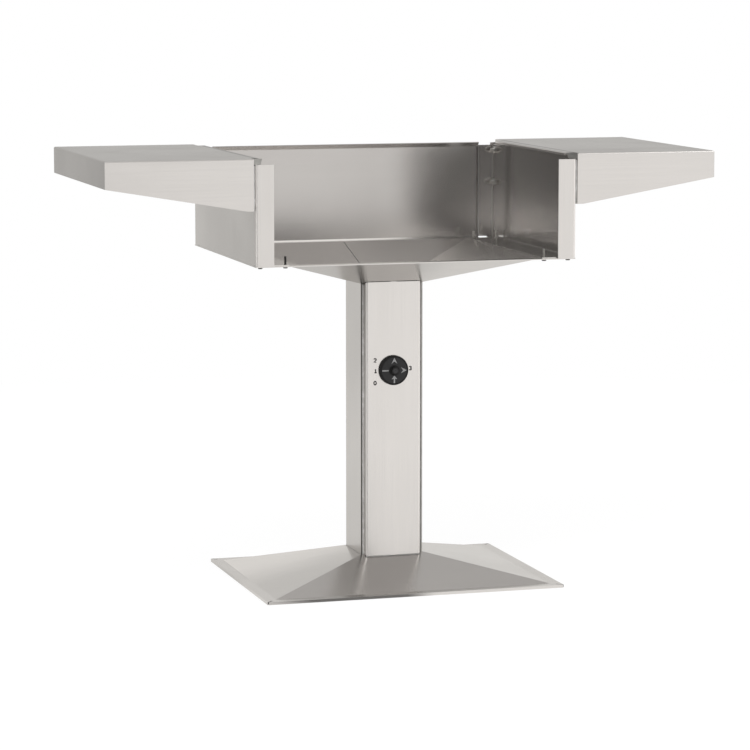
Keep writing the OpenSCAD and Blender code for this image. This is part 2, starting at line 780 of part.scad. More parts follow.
module table_stiffener_right() { color(steel_shade) table_stiffener(); }
module table_stiffener_left() { color(steel_shade) mirror([1, 0, 0]) table_stiffener(); }

// Table bolts enter from inside the table, pass a spacer in the gap and end in the housing
module table_bolt_set() {
    x = table_x + table_sheet;
    for (p = table_bolt_places) translate([x, p[0], p[1]]) rotate([0, -90, 0])
        hex_bolt(table_bolt, table_sheet + table_gap + wall_sheet + table_bolt * nut_share + table_thread_end);
}

module table_spacer_set() {
    for (p = table_bolt_places) translate([wall_x, p[0], p[1]]) rotate([0, 90, 0])
        ring(table_bolt * washer_share, table_bolt + hole_play / 2, table_gap);
}

module table_nut_set() {
    for (p = table_bolt_places) translate([wall_x - wall_sheet, p[0], p[1]]) rotate([0, -90, 0])
        hex_nut(table_bolt);
}

module table_bolts_right() { color(zinc) table_bolt_set(); }
module table_bolts_left() { color(zinc) mirror([1, 0, 0]) table_bolt_set(); }
module table_spacers_right() { color(zinc) table_spacer_set(); }
module table_spacers_left() { color(zinc) mirror([1, 0, 0]) table_spacer_set(); }
module table_nuts_right() { color(zinc) table_nut_set(); }
module table_nuts_left() { color(zinc) mirror([1, 0, 0]) table_nut_set(); }

// Rotary switch behind the front panel

switch_face = panel_front + panel_sheet;
switch_back = switch_face + switch_d;
bush_front = panel_front - 4;
switch_nut_t = 2.2;
switch_nut_w = 14;
spindle_back = switch_face + 12;
cap_t = 1.4;
spindle_front = panel_front - hub_h + 2 * cap_t;
spindle_flat = 0.8;
terminal_w = 6.3;
terminal_t = 0.8;
terminal_len = 9;
terminal_pitch = 12;
step = 1.5;

module switch_housing() {
    r = 3;
    h = switch_w / 2;
    color(moulding) difference() {
        union() {
            translate([0, 0, knob_z]) along_y(switch_face, switch_back - switch_d / 4) polygon(concat(
                arc([h - r, h - r], r, 0, 90), arc([r - h, h - r], r, 90, 180),
                arc([r - h, r - h], r, 180, 270), arc([h - r, r - h], r, 270, 360)));
            translate([-h + step, switch_face + over, knob_z - h + step])
                cube([switch_w - 2 * step, switch_d - over, switch_w - 2 * step]);
            rod_y([0, bush_front, knob_z], bush_d, switch_face - bush_front + over);
        }
        rod_y([0, bush_front - over, knob_z], spindle_d + 2 * spindle_play, spindle_back - bush_front + 2 * over);
    }
}

module switch_terminals() {
    color(brass) for (x = [-0.5, 0.5]) for (z = [-1, 0, 1])
        translate([x * terminal_pitch - terminal_w / 2, switch_back, knob_z + z * terminal_pitch - terminal_t / 2])
        difference() {
            cube([terminal_w, terminal_len, terminal_t]);
            rod_z([terminal_w / 2, terminal_len * 0.65, -over], terminal_w / 4, terminal_t + 2 * over);
        }
}

module switch_mounting_nut() {
    color(zinc) translate([0, panel_front, knob_z]) rotate([90, 0, 0]) difference() {
        cylinder(d = switch_nut_w / cos(30), h = switch_nut_t, $fn = 6);
        translate([0, 0, -over]) cylinder(d = bush_d, h = switch_nut_t + 2 * over, $fn = round_fn);
    }
}

// Spindle with a flat for the grub screw, which presses on it from below
module control_spindle() {
    color(zinc) difference() {
        rod_y([0, spindle_front, knob_z], spindle_d, spindle_back - spindle_front);
        translate([-spindle_d / 2, spindle_front - over, knob_z - spindle_d / 2 - over])
            cube([spindle_d, bush_front - spindle_front, spindle_flat + over]);
    }
}

// Knob: a dished dial with a bevelled rim and a central hub, open at the back over the nut
dial_back = panel_front - 0.6;
dial_front = dial_back - knob_t;
hub_front = panel_front - hub_h;
rim_w = 4;
rim_drop = 2.2;
edge_r = 1;
pocket_d = 20;
pocket_front = bush_front - 0.6;
cap_d = 10;
grub_d = 3;
grub_share = 0.42;       // place of the grub screw along the hub
grub_y = dial_front - (dial_front - hub_front) * grub_share;

module control_knob() {
    // Radius and depth in front of the panel
    back = panel_front - dial_back;
    front = panel_front - dial_front;
    color(moulding) difference() {
        translate([0, panel_front, knob_z]) rotate([90, 0, 0]) rotate_extrude($fn = 2 * round_fn) polygon([
            [0, panel_front - pocket_front], [pocket_d / 2, panel_front - pocket_front],
            [pocket_d / 2, back], [knob_d / 2 - edge_r, back], [knob_d / 2, back + edge_r],
            [knob_d / 2, front - rim_drop], [knob_d / 2 - edge_r, front - rim_drop + edge_r],
            [knob_d / 2 - rim_w, front], [hub_d / 2 + edge_r, front], [hub_d / 2, front + edge_r],
            [hub_d / 2, hub_h - edge_r], [hub_d / 2 - edge_r, hub_h],
            [cap_d / 2, hub_h], [cap_d / 2, hub_h - cap_t], [0, hub_h - cap_t]
        ]);
        rod_y([0, spindle_front, knob_z], spindle_d, hub_h);
        rod_z([0, grub_y, knob_z - hub_d], grub_d, hub_d);
    }
}

module knob_cap() {
    color([0.2, 0.2, 0.2]) translate([0, panel_front, knob_z]) rotate([90, 0, 0]) rotate_extrude($fn = round_fn)
        polygon([
            [0, hub_h - cap_t], [cap_d / 2, hub_h - cap_t], [cap_d / 2, hub_h - cap_t / 3],
            [cap_d / 2 - cap_t / 3, hub_h], [cap_d / 5, hub_h], [cap_d / 8, hub_h - cap_t / 2], [0, hub_h - cap_t / 2]
        ]);
}

module knob_grub_screw() {
    length = hub_d / 2 - spindle_d / 2 + spindle_flat - seat;
    color(zinc) translate([0, grub_y, knob_z - spindle_d / 2 + spindle_flat - length])
        difference() {
            cylinder(d = grub_d, h = length, $fn = round_fn);
            translate([0, 0, -over]) cylinder(d = grub_d / 2, h = over + grub_d / 2, $fn = 6);
        }
}

ground_plate();
foot_gussets();
plinth_cover();
column_channel();
column_head_plate();
head_bolts();
head_washers();
head_nuts();
column_front_panel();
panel_clips();
support_tray();
service_grommet();
rim_bolts();
rim_clinch_nuts();
side_wall_left();
side_wall_right();
back_wall();
joint_bolts();
joint_nuts();
table_left();
table_right();
table_stiffener_left();
table_stiffener_right();
table_bolts_left();
table_bolts_right();
table_spacers_left();
table_spacers_right();
table_nuts_left();
table_nuts_right();
switch_housing();
switch_terminals();
switch_mounting_nut();
control_spindle();
control_knob();
knob_cap();
knob_grub_screw();
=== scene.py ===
"""Looks of a park barbecue pedestal in folded stainless sheet.

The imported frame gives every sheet, bolt and moulding its shape. This script dresses them in brushed
steel, satin plastic, rubber and print, cuts real threads on the bolts, lays weld beads and seals, prints
the dial and sets up the studio. Everything is in metres, in the frame's own axes: X to the right, Y to the
back, Z up.
"""

import json
import logging
import math
from collections.abc import Callable, Sequence
from dataclasses import dataclass, field
from enum import Enum

import bmesh
import bpy
from mathutils import Matrix, Vector

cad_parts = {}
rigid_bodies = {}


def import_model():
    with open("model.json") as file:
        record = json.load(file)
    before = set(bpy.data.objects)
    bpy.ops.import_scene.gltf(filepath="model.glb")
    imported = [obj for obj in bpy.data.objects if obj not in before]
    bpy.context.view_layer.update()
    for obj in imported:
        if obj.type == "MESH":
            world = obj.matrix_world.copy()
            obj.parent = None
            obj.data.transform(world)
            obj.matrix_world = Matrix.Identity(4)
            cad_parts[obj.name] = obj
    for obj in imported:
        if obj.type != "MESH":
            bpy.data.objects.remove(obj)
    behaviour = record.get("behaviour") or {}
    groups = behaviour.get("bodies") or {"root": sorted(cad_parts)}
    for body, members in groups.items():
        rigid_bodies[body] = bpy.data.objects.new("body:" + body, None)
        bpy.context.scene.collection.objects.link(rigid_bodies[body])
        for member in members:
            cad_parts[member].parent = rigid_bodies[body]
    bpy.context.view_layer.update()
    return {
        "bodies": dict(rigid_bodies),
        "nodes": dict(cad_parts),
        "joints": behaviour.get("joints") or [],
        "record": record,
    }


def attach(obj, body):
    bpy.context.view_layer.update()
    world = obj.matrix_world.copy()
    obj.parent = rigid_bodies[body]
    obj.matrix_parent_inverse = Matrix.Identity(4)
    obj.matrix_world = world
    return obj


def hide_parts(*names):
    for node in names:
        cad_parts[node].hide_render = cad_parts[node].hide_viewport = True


LOG = logging.getLogger("pedestal")
MM = 0.001
Point = tuple[float, float, float]
Flat = tuple[float, float]
Chooser = Callable[[Vector, Vector], bool]
Lift = Callable[[float, float, float], Vector]


class Grain(Enum):
    """Direction in which a sheet was brushed."""

    ACROSS = 0
    DEEP = 1
    UPRIGHT = 2


class Body(Enum):
    """Bodies of the frame that a piece can ride on."""

    PEDESTAL = "pedestal"
    KNOB = "knob"


class Side(Enum):
    """The two sides of the pedestal, with the sign of X there."""

    LEFT = -1
    RIGHT = 1

    @property
    def word(self) -> str:
        """The side's name as the nodes spell it."""
        return self.name.lower()


class Sketch:
    """A shader tree that is drawn node by node."""

    def __init__(self, tree: bpy.types.NodeTree) -> None:
        """Empties the tree.

        Args:
            tree: The node tree of a material or of the world.
        """
        self.tree = tree
        tree.nodes.clear()

    def node(self, kind: str, inputs: dict | None = None, **settings: object) -> bpy.types.Node:
        """Adds a node.

        Args:
            kind: The node's type, without the leading ShaderNode.
            inputs: Values or sockets by input name or index.
            **settings: Attributes of the node.

        Returns:
            The new node.
        """
        made = self.tree.nodes.new("ShaderNode" + kind)
        for key, value in settings.items():
            setattr(made, key, value)
        for key, value in (inputs or {}).items():
            if isinstance(value, bpy.types.NodeSocket):
                self.tree.links.new(value, made.inputs[key])
            else:
                made.inputs[key].default_value = value
        return made

    def math(self, how: str, a: object, b: object = 0.0) -> bpy.types.NodeSocket:
        """Adds a sum, a product or another simple function of two values.

        Args:
            how: The operation's name.
            a: First value or socket.
            b: Second value or socket.

        Returns:
            The result's socket.
        """
        return self.node("Math", {0: a, 1: b}, operation=how).outputs[0]

    def span(self, value: object, low: Flat, high: Flat, soft: bool = True) -> bpy.types.NodeSocket:
        """Maps one range onto another and holds it at both ends.

        Args:
            value: The value or socket to map.
            low: The start of the range and its result.
            high: The end of the range and its result.
            soft: Whether the ends run in smoothly.

        Returns:
            The result's socket.
        """
        ends = {"Value": value, "From Min": low[0], "From Max": high[0], "To Min": low[1], "To Max": high[1]}
        kind = "SMOOTHSTEP" if soft else "LINEAR"
        return self.node("MapRange", ends, interpolation_type=kind, clamp=True).outputs["Result"]

    def blend(self, share: object, a: object, b: object) -> bpy.types.NodeSocket:
        """Mixes two numbers.

        Args:
            share: How much of the second number.
            a: First number or socket.
            b: Second number or socket.

        Returns:
            The result's socket.
        """
        return self.node("Mix", {0: share, 2: a, 3: b}, data_type="FLOAT").outputs[0]

    def tint(self, share: object, a: object, b: object) -> bpy.types.NodeSocket:
        """Mixes two colours.

        Args:
            share: How much of the second colour.
            a: First colour or socket.
            b: Second colour or socket.

        Returns:
            The result's socket.
        """
        a, b = (c if isinstance(c, bpy.types.NodeSocket) else (*c, 1.0) for c in (a, b))
        return self.node("Mix", {0: share, 6: a, 7: b}, data_type="RGBA").outputs[2]

    def place(self, axis: int) -> bpy.types.NodeSocket:
        """Reads one coordinate of the shaded point, in the object's own axes.

        Args:
            axis: 0 for X, 1 for Y and 2 for Z.

        Returns:
            The coordinate's socket, in metres.
        """
        where = self.node("TexCoord").outputs["Object"]
        return self.node("SeparateXYZ", {0: where}).outputs[axis]

    def away(self, axis: int, level: float) -> bpy.types.NodeSocket:
        """Measures how far the shaded point lies from a plane.

        Args:
            axis: 0 for X, 1 for Y and 2 for Z.
            level: Where the plane crosses that axis.

        Returns:
            The distance's socket, in metres.
        """
        return self.math("ABSOLUTE", self.math("SUBTRACT", self.place(axis), level))

    def noise(self, scale: Point, detail: float, shift: float = 0.0) -> bpy.types.NodeSocket:
        """Adds noise on the object's own coordinates.

        Args:
            scale: Cycles in a metre along each axis.
            detail: Number of finer octaves.
            shift: Offset that sets one noise apart from the next.

        Returns:
            The noise's socket, about 0.5 on average.
        """
        where = self.node("TexCoord").outputs["Object"]
        placed = self.node("Mapping", {"Vector": where, "Scale": scale, "Location": (shift, shift, shift)})
        wave = self.node("TexNoise", {"Vector": placed.outputs[0], "Scale": 1.0, "Detail": detail})
        return wave.outputs[0]

    def shown_to(self, metal: object, camera: object, rest: object) -> bpy.types.NodeSocket:
        """Shows one shader to polished metal, one to the camera and one to everything else.

        Args:
            metal: Shader socket that reflections show.
            camera: Shader socket that the camera sees.
            rest: Shader socket that lights the rest.

        Returns:
            The mixed shader's socket.
        """
        path = self.node("LightPath").outputs
        polished = self.math("MAXIMUM", path["Is Glossy Ray"], path["Is Transmission Ray"])
        mixed = self.node("MixShader", {0: polished, 1: rest, 2: metal}).outputs[0]
        return self.node("MixShader", {0: path["Is Camera Ray"], 1: mixed, 2: camera}).outputs[0]

    def edges(self, radius: float) -> bpy.types.NodeSocket:
        """Marks the surface near outer and inner edges.

        Args:
            radius: Distance from the edge, in metres.

        Returns:
            A socket that is 1 at an edge and 0 away from it.
        """
        rounded = self.node("Bevel", {"Radius": radius}, samples=3).outputs[0]
        flat = self.node("NewGeometry").outputs["True Normal"]
        same = self.node("VectorMath", {0: rounded, 1: flat}, operation="DOT_PRODUCT").outputs["Value"]
        return self.span(same, (0.995, 0.0), (0.8, 1.0))


@dataclass(frozen=True)
class Finish:
    """A surface finish. Its material is made once and shared."""

    name: str
    colour: Point
    roughness: float

    def material(self) -> bpy.types.Material:
        """The finish's material, made at its first use.

        Returns:
            The Blender material.
        """
        found = bpy.data.materials.get(self.name)
        if found:
            return found
        made = bpy.data.materials.new(self.name)
        made.use_nodes = True
        made.diffuse_color = (*self.colour, 1.0)
        made.roughness = self.roughness
        sketch = Sketch(made.node_tree)
        shader = sketch.node("BsdfPrincipled")
        self.paint(sketch, shader)
        sketch.node("OutputMaterial", {"Surface": shader.outputs[0]})
        return made

    def paint(self, sketch: Sketch, shader: bpy.types.Node) -> None:
        """Draws the finish.

        Args:
            sketch: The material's tree.
            shader: Its shader.
        """
        raise NotImplementedError

    def scaled(self, factor: float) -> Point:
        """The finish's colour, lighter or darker.

        Args:
            factor: What each channel is multiplied by.

        Returns:
            The new colour.
        """
        return tuple(min(1.0, c * factor) for c in self.colour)

    @staticmethod
    def join(
        sketch: Sketch,
        shader: bpy.types.Node,
        colour: object,
        roughness: object,
        height: object,
        depth: float,
    ) -> None:
        """Feeds colour, roughness and relief into the shader.

        Args:
            sketch: The material's tree.
            shader: Its shader.
            colour: Colour socket.
            roughness: Roughness socket.
            height: Height socket of the relief.
            depth: Depth of the relief, in metres.
        """
        relief = sketch.node("Bump", {"Height": height, "Distance": depth, "Strength": 1.0})
        for name, socket in (("Base Color", colour), ("Roughness", roughness), ("Normal", relief.outputs[0])):
            sketch.tree.links.new(socket, shader.inputs[name])


@dataclass(frozen=True)
class Drift:
    """Painted shade that darkens a sheet slowly along one axis, in place of the light and shade that falls
    across it.

    Both ends hold a place on the axis, in metres, and the share of the full tone there.
    """

    axis: Grain
    start: Flat
    end: Flat


@dataclass(frozen=True)
class BrushedSteel(Finish):
    """Stainless sheet with a satin grain in one direction, faint bands and hand-polished edges.

    Where a sheet is folded back on itself, a painted line of shade darkens it near the X of its shade line.
    """

    grain: Grain = Grain.ACROSS
    band: float = 0.018
    wear: float = 0.10
    drift: Drift | None = None
    crease: float = 0.0
    crease_reach: Flat = (4 * MM, 7 * MM)
    crease_depth: float = 0.85
    crease_tone: float = 0.4

    def along(self, long: float, short: float) -> Point:
        """Noise scales that stretch the grain along the sheet.

        Args:
            long: Cycles in a metre along the grain.
            short: Cycles in a metre across it.

        Returns:
            The three scales.
        """
        return tuple(long if axis == self.grain.value else short for axis in range(3))

    def paint(self, sketch: Sketch, shader: bpy.types.Node) -> None:
        """Draws grain, bands, clouds and edge wear, and the sheet's painted shade ramp and painted shade
        line.

        Args:
            sketch: The material's tree.
            shader: Its shader.
        """
        shift = 3.7 * self.grain.value
        hairs = sketch.noise(self.along(14.0, 2600.0), 2.0, shift)
        lines = sketch.noise(self.along(5.0, 420.0), 3.0, shift + 11.0)
        bands = sketch.noise(self.along(1.6, 34.0), 2.0, shift + 23.0)
        clouds = sketch.noise((5.0, 5.0, 5.0), 3.0, shift + 31.0)
        edge = sketch.edges(0.9 * MM)
        sheen = sketch.math("ADD", sketch.math("MULTIPLY", lines, 0.6), sketch.math("MULTIPLY", bands, 0.4))
        sheen = sketch.span(sheen, (0.3, 0.0), (0.7, 1.0))
        colour = sketch.tint(sheen, self.scaled(1.0 - self.band), self.scaled(1.0 + self.band))
        colour = sketch.tint(sketch.math("MULTIPLY", edge, self.wear * 4.0), colour, self.scaled(1.16))
        # Painted shade: the colour darkens towards black along one axis.
        if self.drift:
            share = sketch.span(sketch.place(self.drift.axis.value), self.drift.start, self.drift.end)
            colour = sketch.tint(share, (0.0, 0.0, 0.0), colour)
        # Painted shade: a dark line along the fold, near the shade line's X.
        if self.crease:
            line = (self.crease_reach[0], self.crease_depth), (self.crease_reach[1], 0.0)
            share = sketch.span(sketch.away(Grain.ACROSS.value, self.crease), *line)
            colour = sketch.tint(share, colour, self.scaled(self.crease_tone))
        rough = sketch.math("ADD", self.roughness - 0.05, sketch.math("MULTIPLY", hairs, 0.06))
        rough = sketch.math("ADD", rough, sketch.span(clouds, (0.3, -0.015), (0.7, 0.025)))
        rough = sketch.math("ADD", rough, sketch.math("MULTIPLY", edge, self.wear))
        height = sketch.math("ADD", sketch.math("MULTIPLY", hairs, 0.5), lines)
        self.join(sketch, shader, colour, rough, height, 0.012 * MM)
        shader.inputs["Metallic"].default_value = 1.0
        shader.inputs["Specular Tint"].default_value = (0.86, 0.86, 0.85, 1.0)


@dataclass(frozen=True)
class MillSteel(Finish):
    """Plain hot-rolled steel with a mottled skin and straw-coloured heat marks near its welds."""

    heat_top: float = 0.0
    heat_band: float = 9 * MM

    def paint(self, sketch: Sketch, shader: bpy.types.Node) -> None:
        """Draws the mottled skin and the heat marks.

        Args:
            sketch: The material's tree.
            shader: Its shader.
        """
        mottle = sketch.noise((55.0, 55.0, 55.0), 5.0, 2.0)
        pits = sketch.noise((900.0, 900.0, 900.0), 3.0, 7.0)
        edge = sketch.edges(1.2 * MM)
        mix = sketch.span(mottle, (0.3, 0.0), (0.7, 1.0))
        colour = sketch.tint(mix, self.scaled(0.82), self.scaled(1.1))
        if self.heat_top > 0:
            reach = sketch.away(Grain.UPRIGHT.value, self.heat_top)
            straw = sketch.span(reach, (0.0, 0.75), (self.heat_band, 0.0))
            colour = sketch.tint(straw, colour, (0.42, 0.30, 0.16))
            blue = sketch.span(reach, (0.0, 0.6), (self.heat_band * 0.45, 0.0))
            colour = sketch.tint(blue, colour, (0.16, 0.18, 0.28))
        colour = sketch.tint(sketch.math("MULTIPLY", edge, 0.4), colour, self.scaled(1.25))
        rough = sketch.math("ADD", self.roughness - 0.1, sketch.math("MULTIPLY", mottle, 0.2))
        self.join(sketch, shader, colour, rough, sketch.math("ADD", pits, mottle), 0.03 * MM)
        shader.inputs["Metallic"].default_value = 1.0


@dataclass(frozen=True)
class TurnedMetal(Finish):
    """Machined or rolled metal of screws, nuts, clips and contacts."""

    speckle: float = 0.1

    def paint(self, sketch: Sketch, shader: bpy.types.Node) -> None:
        """Draws tool marks, a speckled skin and bright edges.

        Args:
            sketch: The material's tree.
            shader: Its shader.
        """
        skin = sketch.noise((1400.0, 1400.0, 1400.0), 3.0, 1.0)
        marks = sketch.noise((260.0, 260.0, 5200.0), 2.0, 5.0)
        edge = sketch.edges(0.35 * MM)
        mix = sketch.span(skin, (0.3, 0.0), (0.7, 1.0))
        colour = sketch.tint(mix, self.scaled(1 - self.speckle), self.scaled(1 + self.speckle))
        colour = sketch.tint(sketch.math("MULTIPLY", edge, 0.5), colour, self.scaled(1.3))
        rough = sketch.math("ADD", self.roughness - 0.06, sketch.math("MULTIPLY", marks, 0.12))
        self.join(sketch, shader, colour, rough, sketch.math("ADD", skin, marks), 0.01 * MM)
        shader.inputs["Metallic"].default_value = 1.0


@dataclass(frozen=True)
class Moulding(Finish):
    """Moulded plastic or rubber with a fine eroded texture, a little dust and rubbed edges."""

    texture: float = 0.02 * MM
    pitch: float = 1500.0
    rubbed: float = 2.4

    def paint(self, sketch: Sketch, shader: bpy.types.Node) -> None:
        """Draws the eroded texture, dust and rubbed edges.

        Args:
            sketch: The material's tree.
            shader: Its shader.
        """
        pores = sketch.noise((self.pitch, self.pitch, self.pitch), 2.0, 4.0)
        dust = sketch.noise((70.0, 70.0, 70.0), 6.0, 9.0)
        edge = sketch.edges(0.6 * MM)
        colour = sketch.tint(sketch.span(dust, (0.45, 0.0), (0.8, 1.0)), self.colour, self.scaled(1.5))
        colour = sketch.tint(sketch.math("MULTIPLY", edge, 0.55), colour, self.scaled(self.rubbed))
        rough = sketch.math("ADD", self.roughness - 0.05, sketch.math("MULTIPLY", dust, 0.1))
        rough = sketch.math("SUBTRACT", rough, sketch.math("MULTIPLY", edge, 0.06))
        self.join(sketch, shader, colour, rough, pores, self.texture)
        shader.inputs["Specular IOR Level"].default_value = 0.45


@dataclass(frozen=True)
class Print(Finish):
    """Pad-printed ink with thin spots."""

    under: Point = (0.03, 0.03, 0.03)

    def paint(self, sketch: Sketch, shader: bpy.types.Node) -> None:
        """Draws the ink and its thin spots.

        Args:
            sketch: The material's tree.
            shader: Its shader.
        """
        thin = sketch.noise((700.0, 700.0, 700.0), 4.0, 6.0)
        colour = sketch.tint(sketch.span(thin, (0.56, 0.0), (0.78, 0.6)), self.colour, self.under)
        rough = sketch.math("ADD", self.roughness - 0.08, sketch.math("MULTIPLY", thin, 0.16))
        self.join(sketch, shader, colour, rough, thin, 0.006 * MM)


def steel(tone: float) -> Point:
    """Colour of stainless sheet, from its lightness."""
    return (tone, tone * 0.970, tone * 0.946)


def sheet(
    name: str, tone: float, roughness: float = 0.25, grain: Grain = Grain.ACROSS, **more: object
) -> BrushedSteel:
    """A finish for stainless sheet.

    Args:
        name: What the finish is called, after the word brushed.
        tone: Its lightness.
        roughness: How dull it is.
        grain: Direction of the brushing.
        **more: Further fields of the finish.

    Returns:
        The finish.
    """
    return BrushedSteel(f"brushed_{name}", steel(tone), roughness, grain, **more)


# Lit and shaded copies of one brushed steel: each face gets its own lightness, painted light and shade in
# place of the light that falls on it.
SHEET = sheet("across", 0.70)
SHEET_UPRIGHT = sheet("upright", 0.715, grain=Grain.UPRIGHT)
SHEET_SIDE = sheet("side", 0.67, grain=Grain.UPRIGHT)
SHEET_PANEL = sheet("panel", 0.735, grain=Grain.UPRIGHT, drift=Drift(Grain.UPRIGHT, (0.06, 0.94), (0.3, 1.0)))
SHEET_INNER_SHADE = sheet("inner", 0.62, 0.17, Grain.UPRIGHT, drift=Drift(Grain.DEEP, (-0.15, 0.76), (0.2, 0.98)))
SHEET_BACK = sheet("back", 0.755, band=0.012, drift=Drift(Grain.ACROSS, (0.04, 0.73), (0.24, 1.0)))
SHEET_LIP_LIT = sheet("lip", 0.86, drift=Drift(Grain.ACROSS, (0.10, 1.0), (0.2, 0.6)))
SHEET_TOP = {
    Side.LEFT: sheet("top_left", 0.65, crease=-330.5 * MM),
    Side.RIGHT: sheet("top_right", 0.645, crease=341.5 * MM),
}
SHEET_EDGE_HIGHLIGHT = sheet("edge", 0.97)
SHEET_ROUND_HIGHLIGHT = sheet("round", 0.92, 0.55, Grain.UPRIGHT)
SHEET_BEND_SHADE = sheet("bend", 0.34, 0.3, Grain.UPRIGHT)
SHEET_FOOT_LIT = sheet("foot", 0.80, 0.22)
SHEET_APRON = sheet("apron", 0.68)
SHEET_RETURN_LIT = sheet("return", 0.85, 0.6, Grain.UPRIGHT)
SHEET_END_SHADE = sheet("end", 0.585)
SHEET_FLANK = sheet("flank", 0.70, grain=Grain.UPRIGHT, drift=Drift(Grain.UPRIGHT, (0.08, 0.87), (0.34, 1.0)))
SHEET_RISE_LIT = sheet("rise", 0.95, drift=Drift(Grain.DEEP, (-0.08, 0.77), (0.12, 1.0)))
SHEET_SLOPE = sheet("slope", 0.745)
SHEET_UNDER = sheet("under", 0.70, drift=Drift(Grain.ACROSS, (0.0, 0.77), (0.12, 1.0)))
SHEET_BOWL = sheet("bowl", 0.96, drift=Drift(Grain.ACROSS, (-0.05, 1.0), (0.16, 0.62)))
SHEET_BOWL_FRONT = sheet("bowl_front", 0.90, drift=Drift(Grain.ACROSS, (-0.03, 0.50), (0.10, 1.0)))
SHEET_BOWL_LEFT = sheet("bowl_left", 0.89)
SHEET_BOWL_RIGHT = sheet("bowl_right", 0.97)
PLATE = MillSteel("mill_plate", (0.46, 0.45, 0.43), 0.42, heat_top=10 * MM)
HEAD = MillSteel("mill_head_plate", (0.46, 0.45, 0.43), 0.42)
BEAD = MillSteel("weld_bead", (0.50, 0.48, 0.45), 0.34)
# Painted shade and painted light: the same cut edge in a dark copy and in a light copy.
CUT_EDGE_SHADE = MillSteel("cut_edge_shade", (0.17, 0.168, 0.162), 0.5)
CUT_EDGE_LIT = MillSteel("cut_edge_lit", (0.50, 0.495, 0.48), 0.5)
# Painted shade on the tables' front corners.
CORNER_SHADE = MillSteel("table_corner_shade", (0.40, 0.395, 0.38), 0.4)
SCREW = TurnedMetal("screw_steel", (0.50, 0.49, 0.47), 0.28)
# A darker copy of the screw steel, painted shade on the rim bolts.
SCREW_SHADED = TurnedMetal("screw_steel_shaded", (0.15, 0.147, 0.142), 0.32)
# A darker screw steel for the joint bolts and nuts.
DARK_SCREW = TurnedMetal("dark_screw_steel", (0.17, 0.165, 0.16), 0.36, speckle=0.15)
SPRING = TurnedMetal("spring_steel", (0.42, 0.42, 0.42), 0.24, speckle=0.06)
CONTACT = TurnedMetal("tinned_brass", (0.62, 0.52, 0.32), 0.3, speckle=0.08)
DIAL = Moulding("dial_plastic", (0.011, 0.011, 0.012), 0.38)
# Dark plastic of the knob's rim, also used for the dial's dark rings, of which the inner one is painted shade
# round the hub.
DIAL_RIM_AND_SHADE = Moulding("dial_rim_and_shade_plastic", (0.002, 0.002, 0.002), 0.6)
CAP = Moulding("cap_plastic", (0.03, 0.03, 0.031), 0.36, texture=0.01 * MM)
CASE = Moulding("switch_case", (0.022, 0.022, 0.024), 0.5, pitch=900.0)
RUBBER = Moulding("grommet_rubber", (0.02, 0.02, 0.02), 0.72, texture=0.04 * MM, rubbed=1.6)
SEAL = Moulding("seal_rubber", (0.68, 0.675, 0.66), 0.7, texture=0.03 * MM, rubbed=1.1)
FOOT_SEAL = Moulding("foot_rubber", (0.48, 0.475, 0.46), 0.7, texture=0.03 * MM, rubbed=1.1)
# Painted shade: dark strips laid in the tray's seam and in the plinth's corner slots, where shadow falls.
SHADE_STRIP = Moulding("seam_shade_strip", (0.03, 0.03, 0.03), 0.6, texture=0.02 * MM, pitch=600.0, rubbed=1.3)
MARK = Print("dial_print", (0.33, 0.33, 0.33), 0.5)
INK = Print("panel_ink", (0.025, 0.025, 0.025), 0.46, under=(0.09, 0.09, 0.09))


class Workshop:
    """Makes new pieces from meshes and dresses the frame's own nodes."""

    def __init__(self, frame: dict) -> None:
        """Keeps the frame.
        """
        self.nodes: dict[str, bpy.types.Object] = frame["nodes"]

    def dress(self, finish: Finish, *names: str) -> None:
        """Gives nodes of the frame a finish.

        Args:
            finish: The finish.
            *names: The nodes' names.
        """
        for name in names:
            mesh = self.nodes[name].data
            mesh.materials.clear()
            mesh.materials.append(finish.material())
            LOG.info("dressed %s in %s", name, finish.name)

    def retouch(self, name: str, finish: Finish, chosen: Chooser) -> None:
        """Gives some faces of a dressed node a second finish.

        Args:
            name: The node's name.
            finish: The second finish.
            chosen: Tells from a face's centre and normal whether it gets that finish.
        """
        mesh = self.nodes[name].data
        mesh.materials.append(finish.material())
        picked = [face for face in mesh.polygons if chosen(face.center, face.normal)]
        for face in picked:
            face.material_index = len(mesh.materials) - 1
        LOG.info("retouched %d faces of %s in %s", len(picked), name, finish.name)

    def piece(
        self, name: str, mesh: bmesh.types.BMesh, finish: Finish, body: Body, angle: float = 32.0
    ) -> bpy.types.Object:
        """Turns a finished mesh into a piece that rides on a body.

        Args:
            name: The piece's name.
            mesh: The mesh, in place.
            finish: Its finish.
            body: What it rides on.
            angle: Edges sharper than this many degrees stay sharp.

        Returns:
            The piece.
        """
        bmesh.ops.recalc_face_normals(mesh, faces=mesh.faces[:])
        for edge in mesh.edges:
            edge.smooth = len(edge.link_faces) == 2 and edge.calc_face_angle(0.0) < math.radians(angle)
        for face in mesh.faces:
            face.smooth = True
        data = bpy.data.meshes.new(name)
        mesh.to_mesh(data)
        mesh.free()
        data.materials.append(finish.material())
        made = bpy.data.objects.new(name, data)
        bpy.context.scene.collection.objects.link(made)
        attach(made, body.value)
        LOG.info("built %s: %d faces in %s", name, len(data.polygons), finish.name)
        return made


def skin_rings(mesh: bmesh.types.BMesh, rings: Sequence[Sequence[Vector]], caps: bool = True) -> None:
    """Skins a row of closed rings that have equally many points.

    Args:
        mesh: The mesh that takes the faces.
        rings: The rings, each a list of points.
        caps: Whether the two ends are closed.
    """
    rows = [[mesh.verts.new(p) for p in ring] for ring in rings]
    count = len(rows[0])
    for low, high in zip(rows, rows[1:]):
        for i in range(count):
            j = (i + 1) % count
            mesh.faces.new((low[i], low[j], high[j], high[i]))
    if caps:
        mesh.faces.new(rows[0][::-1])
        mesh.faces.new(rows[-1])


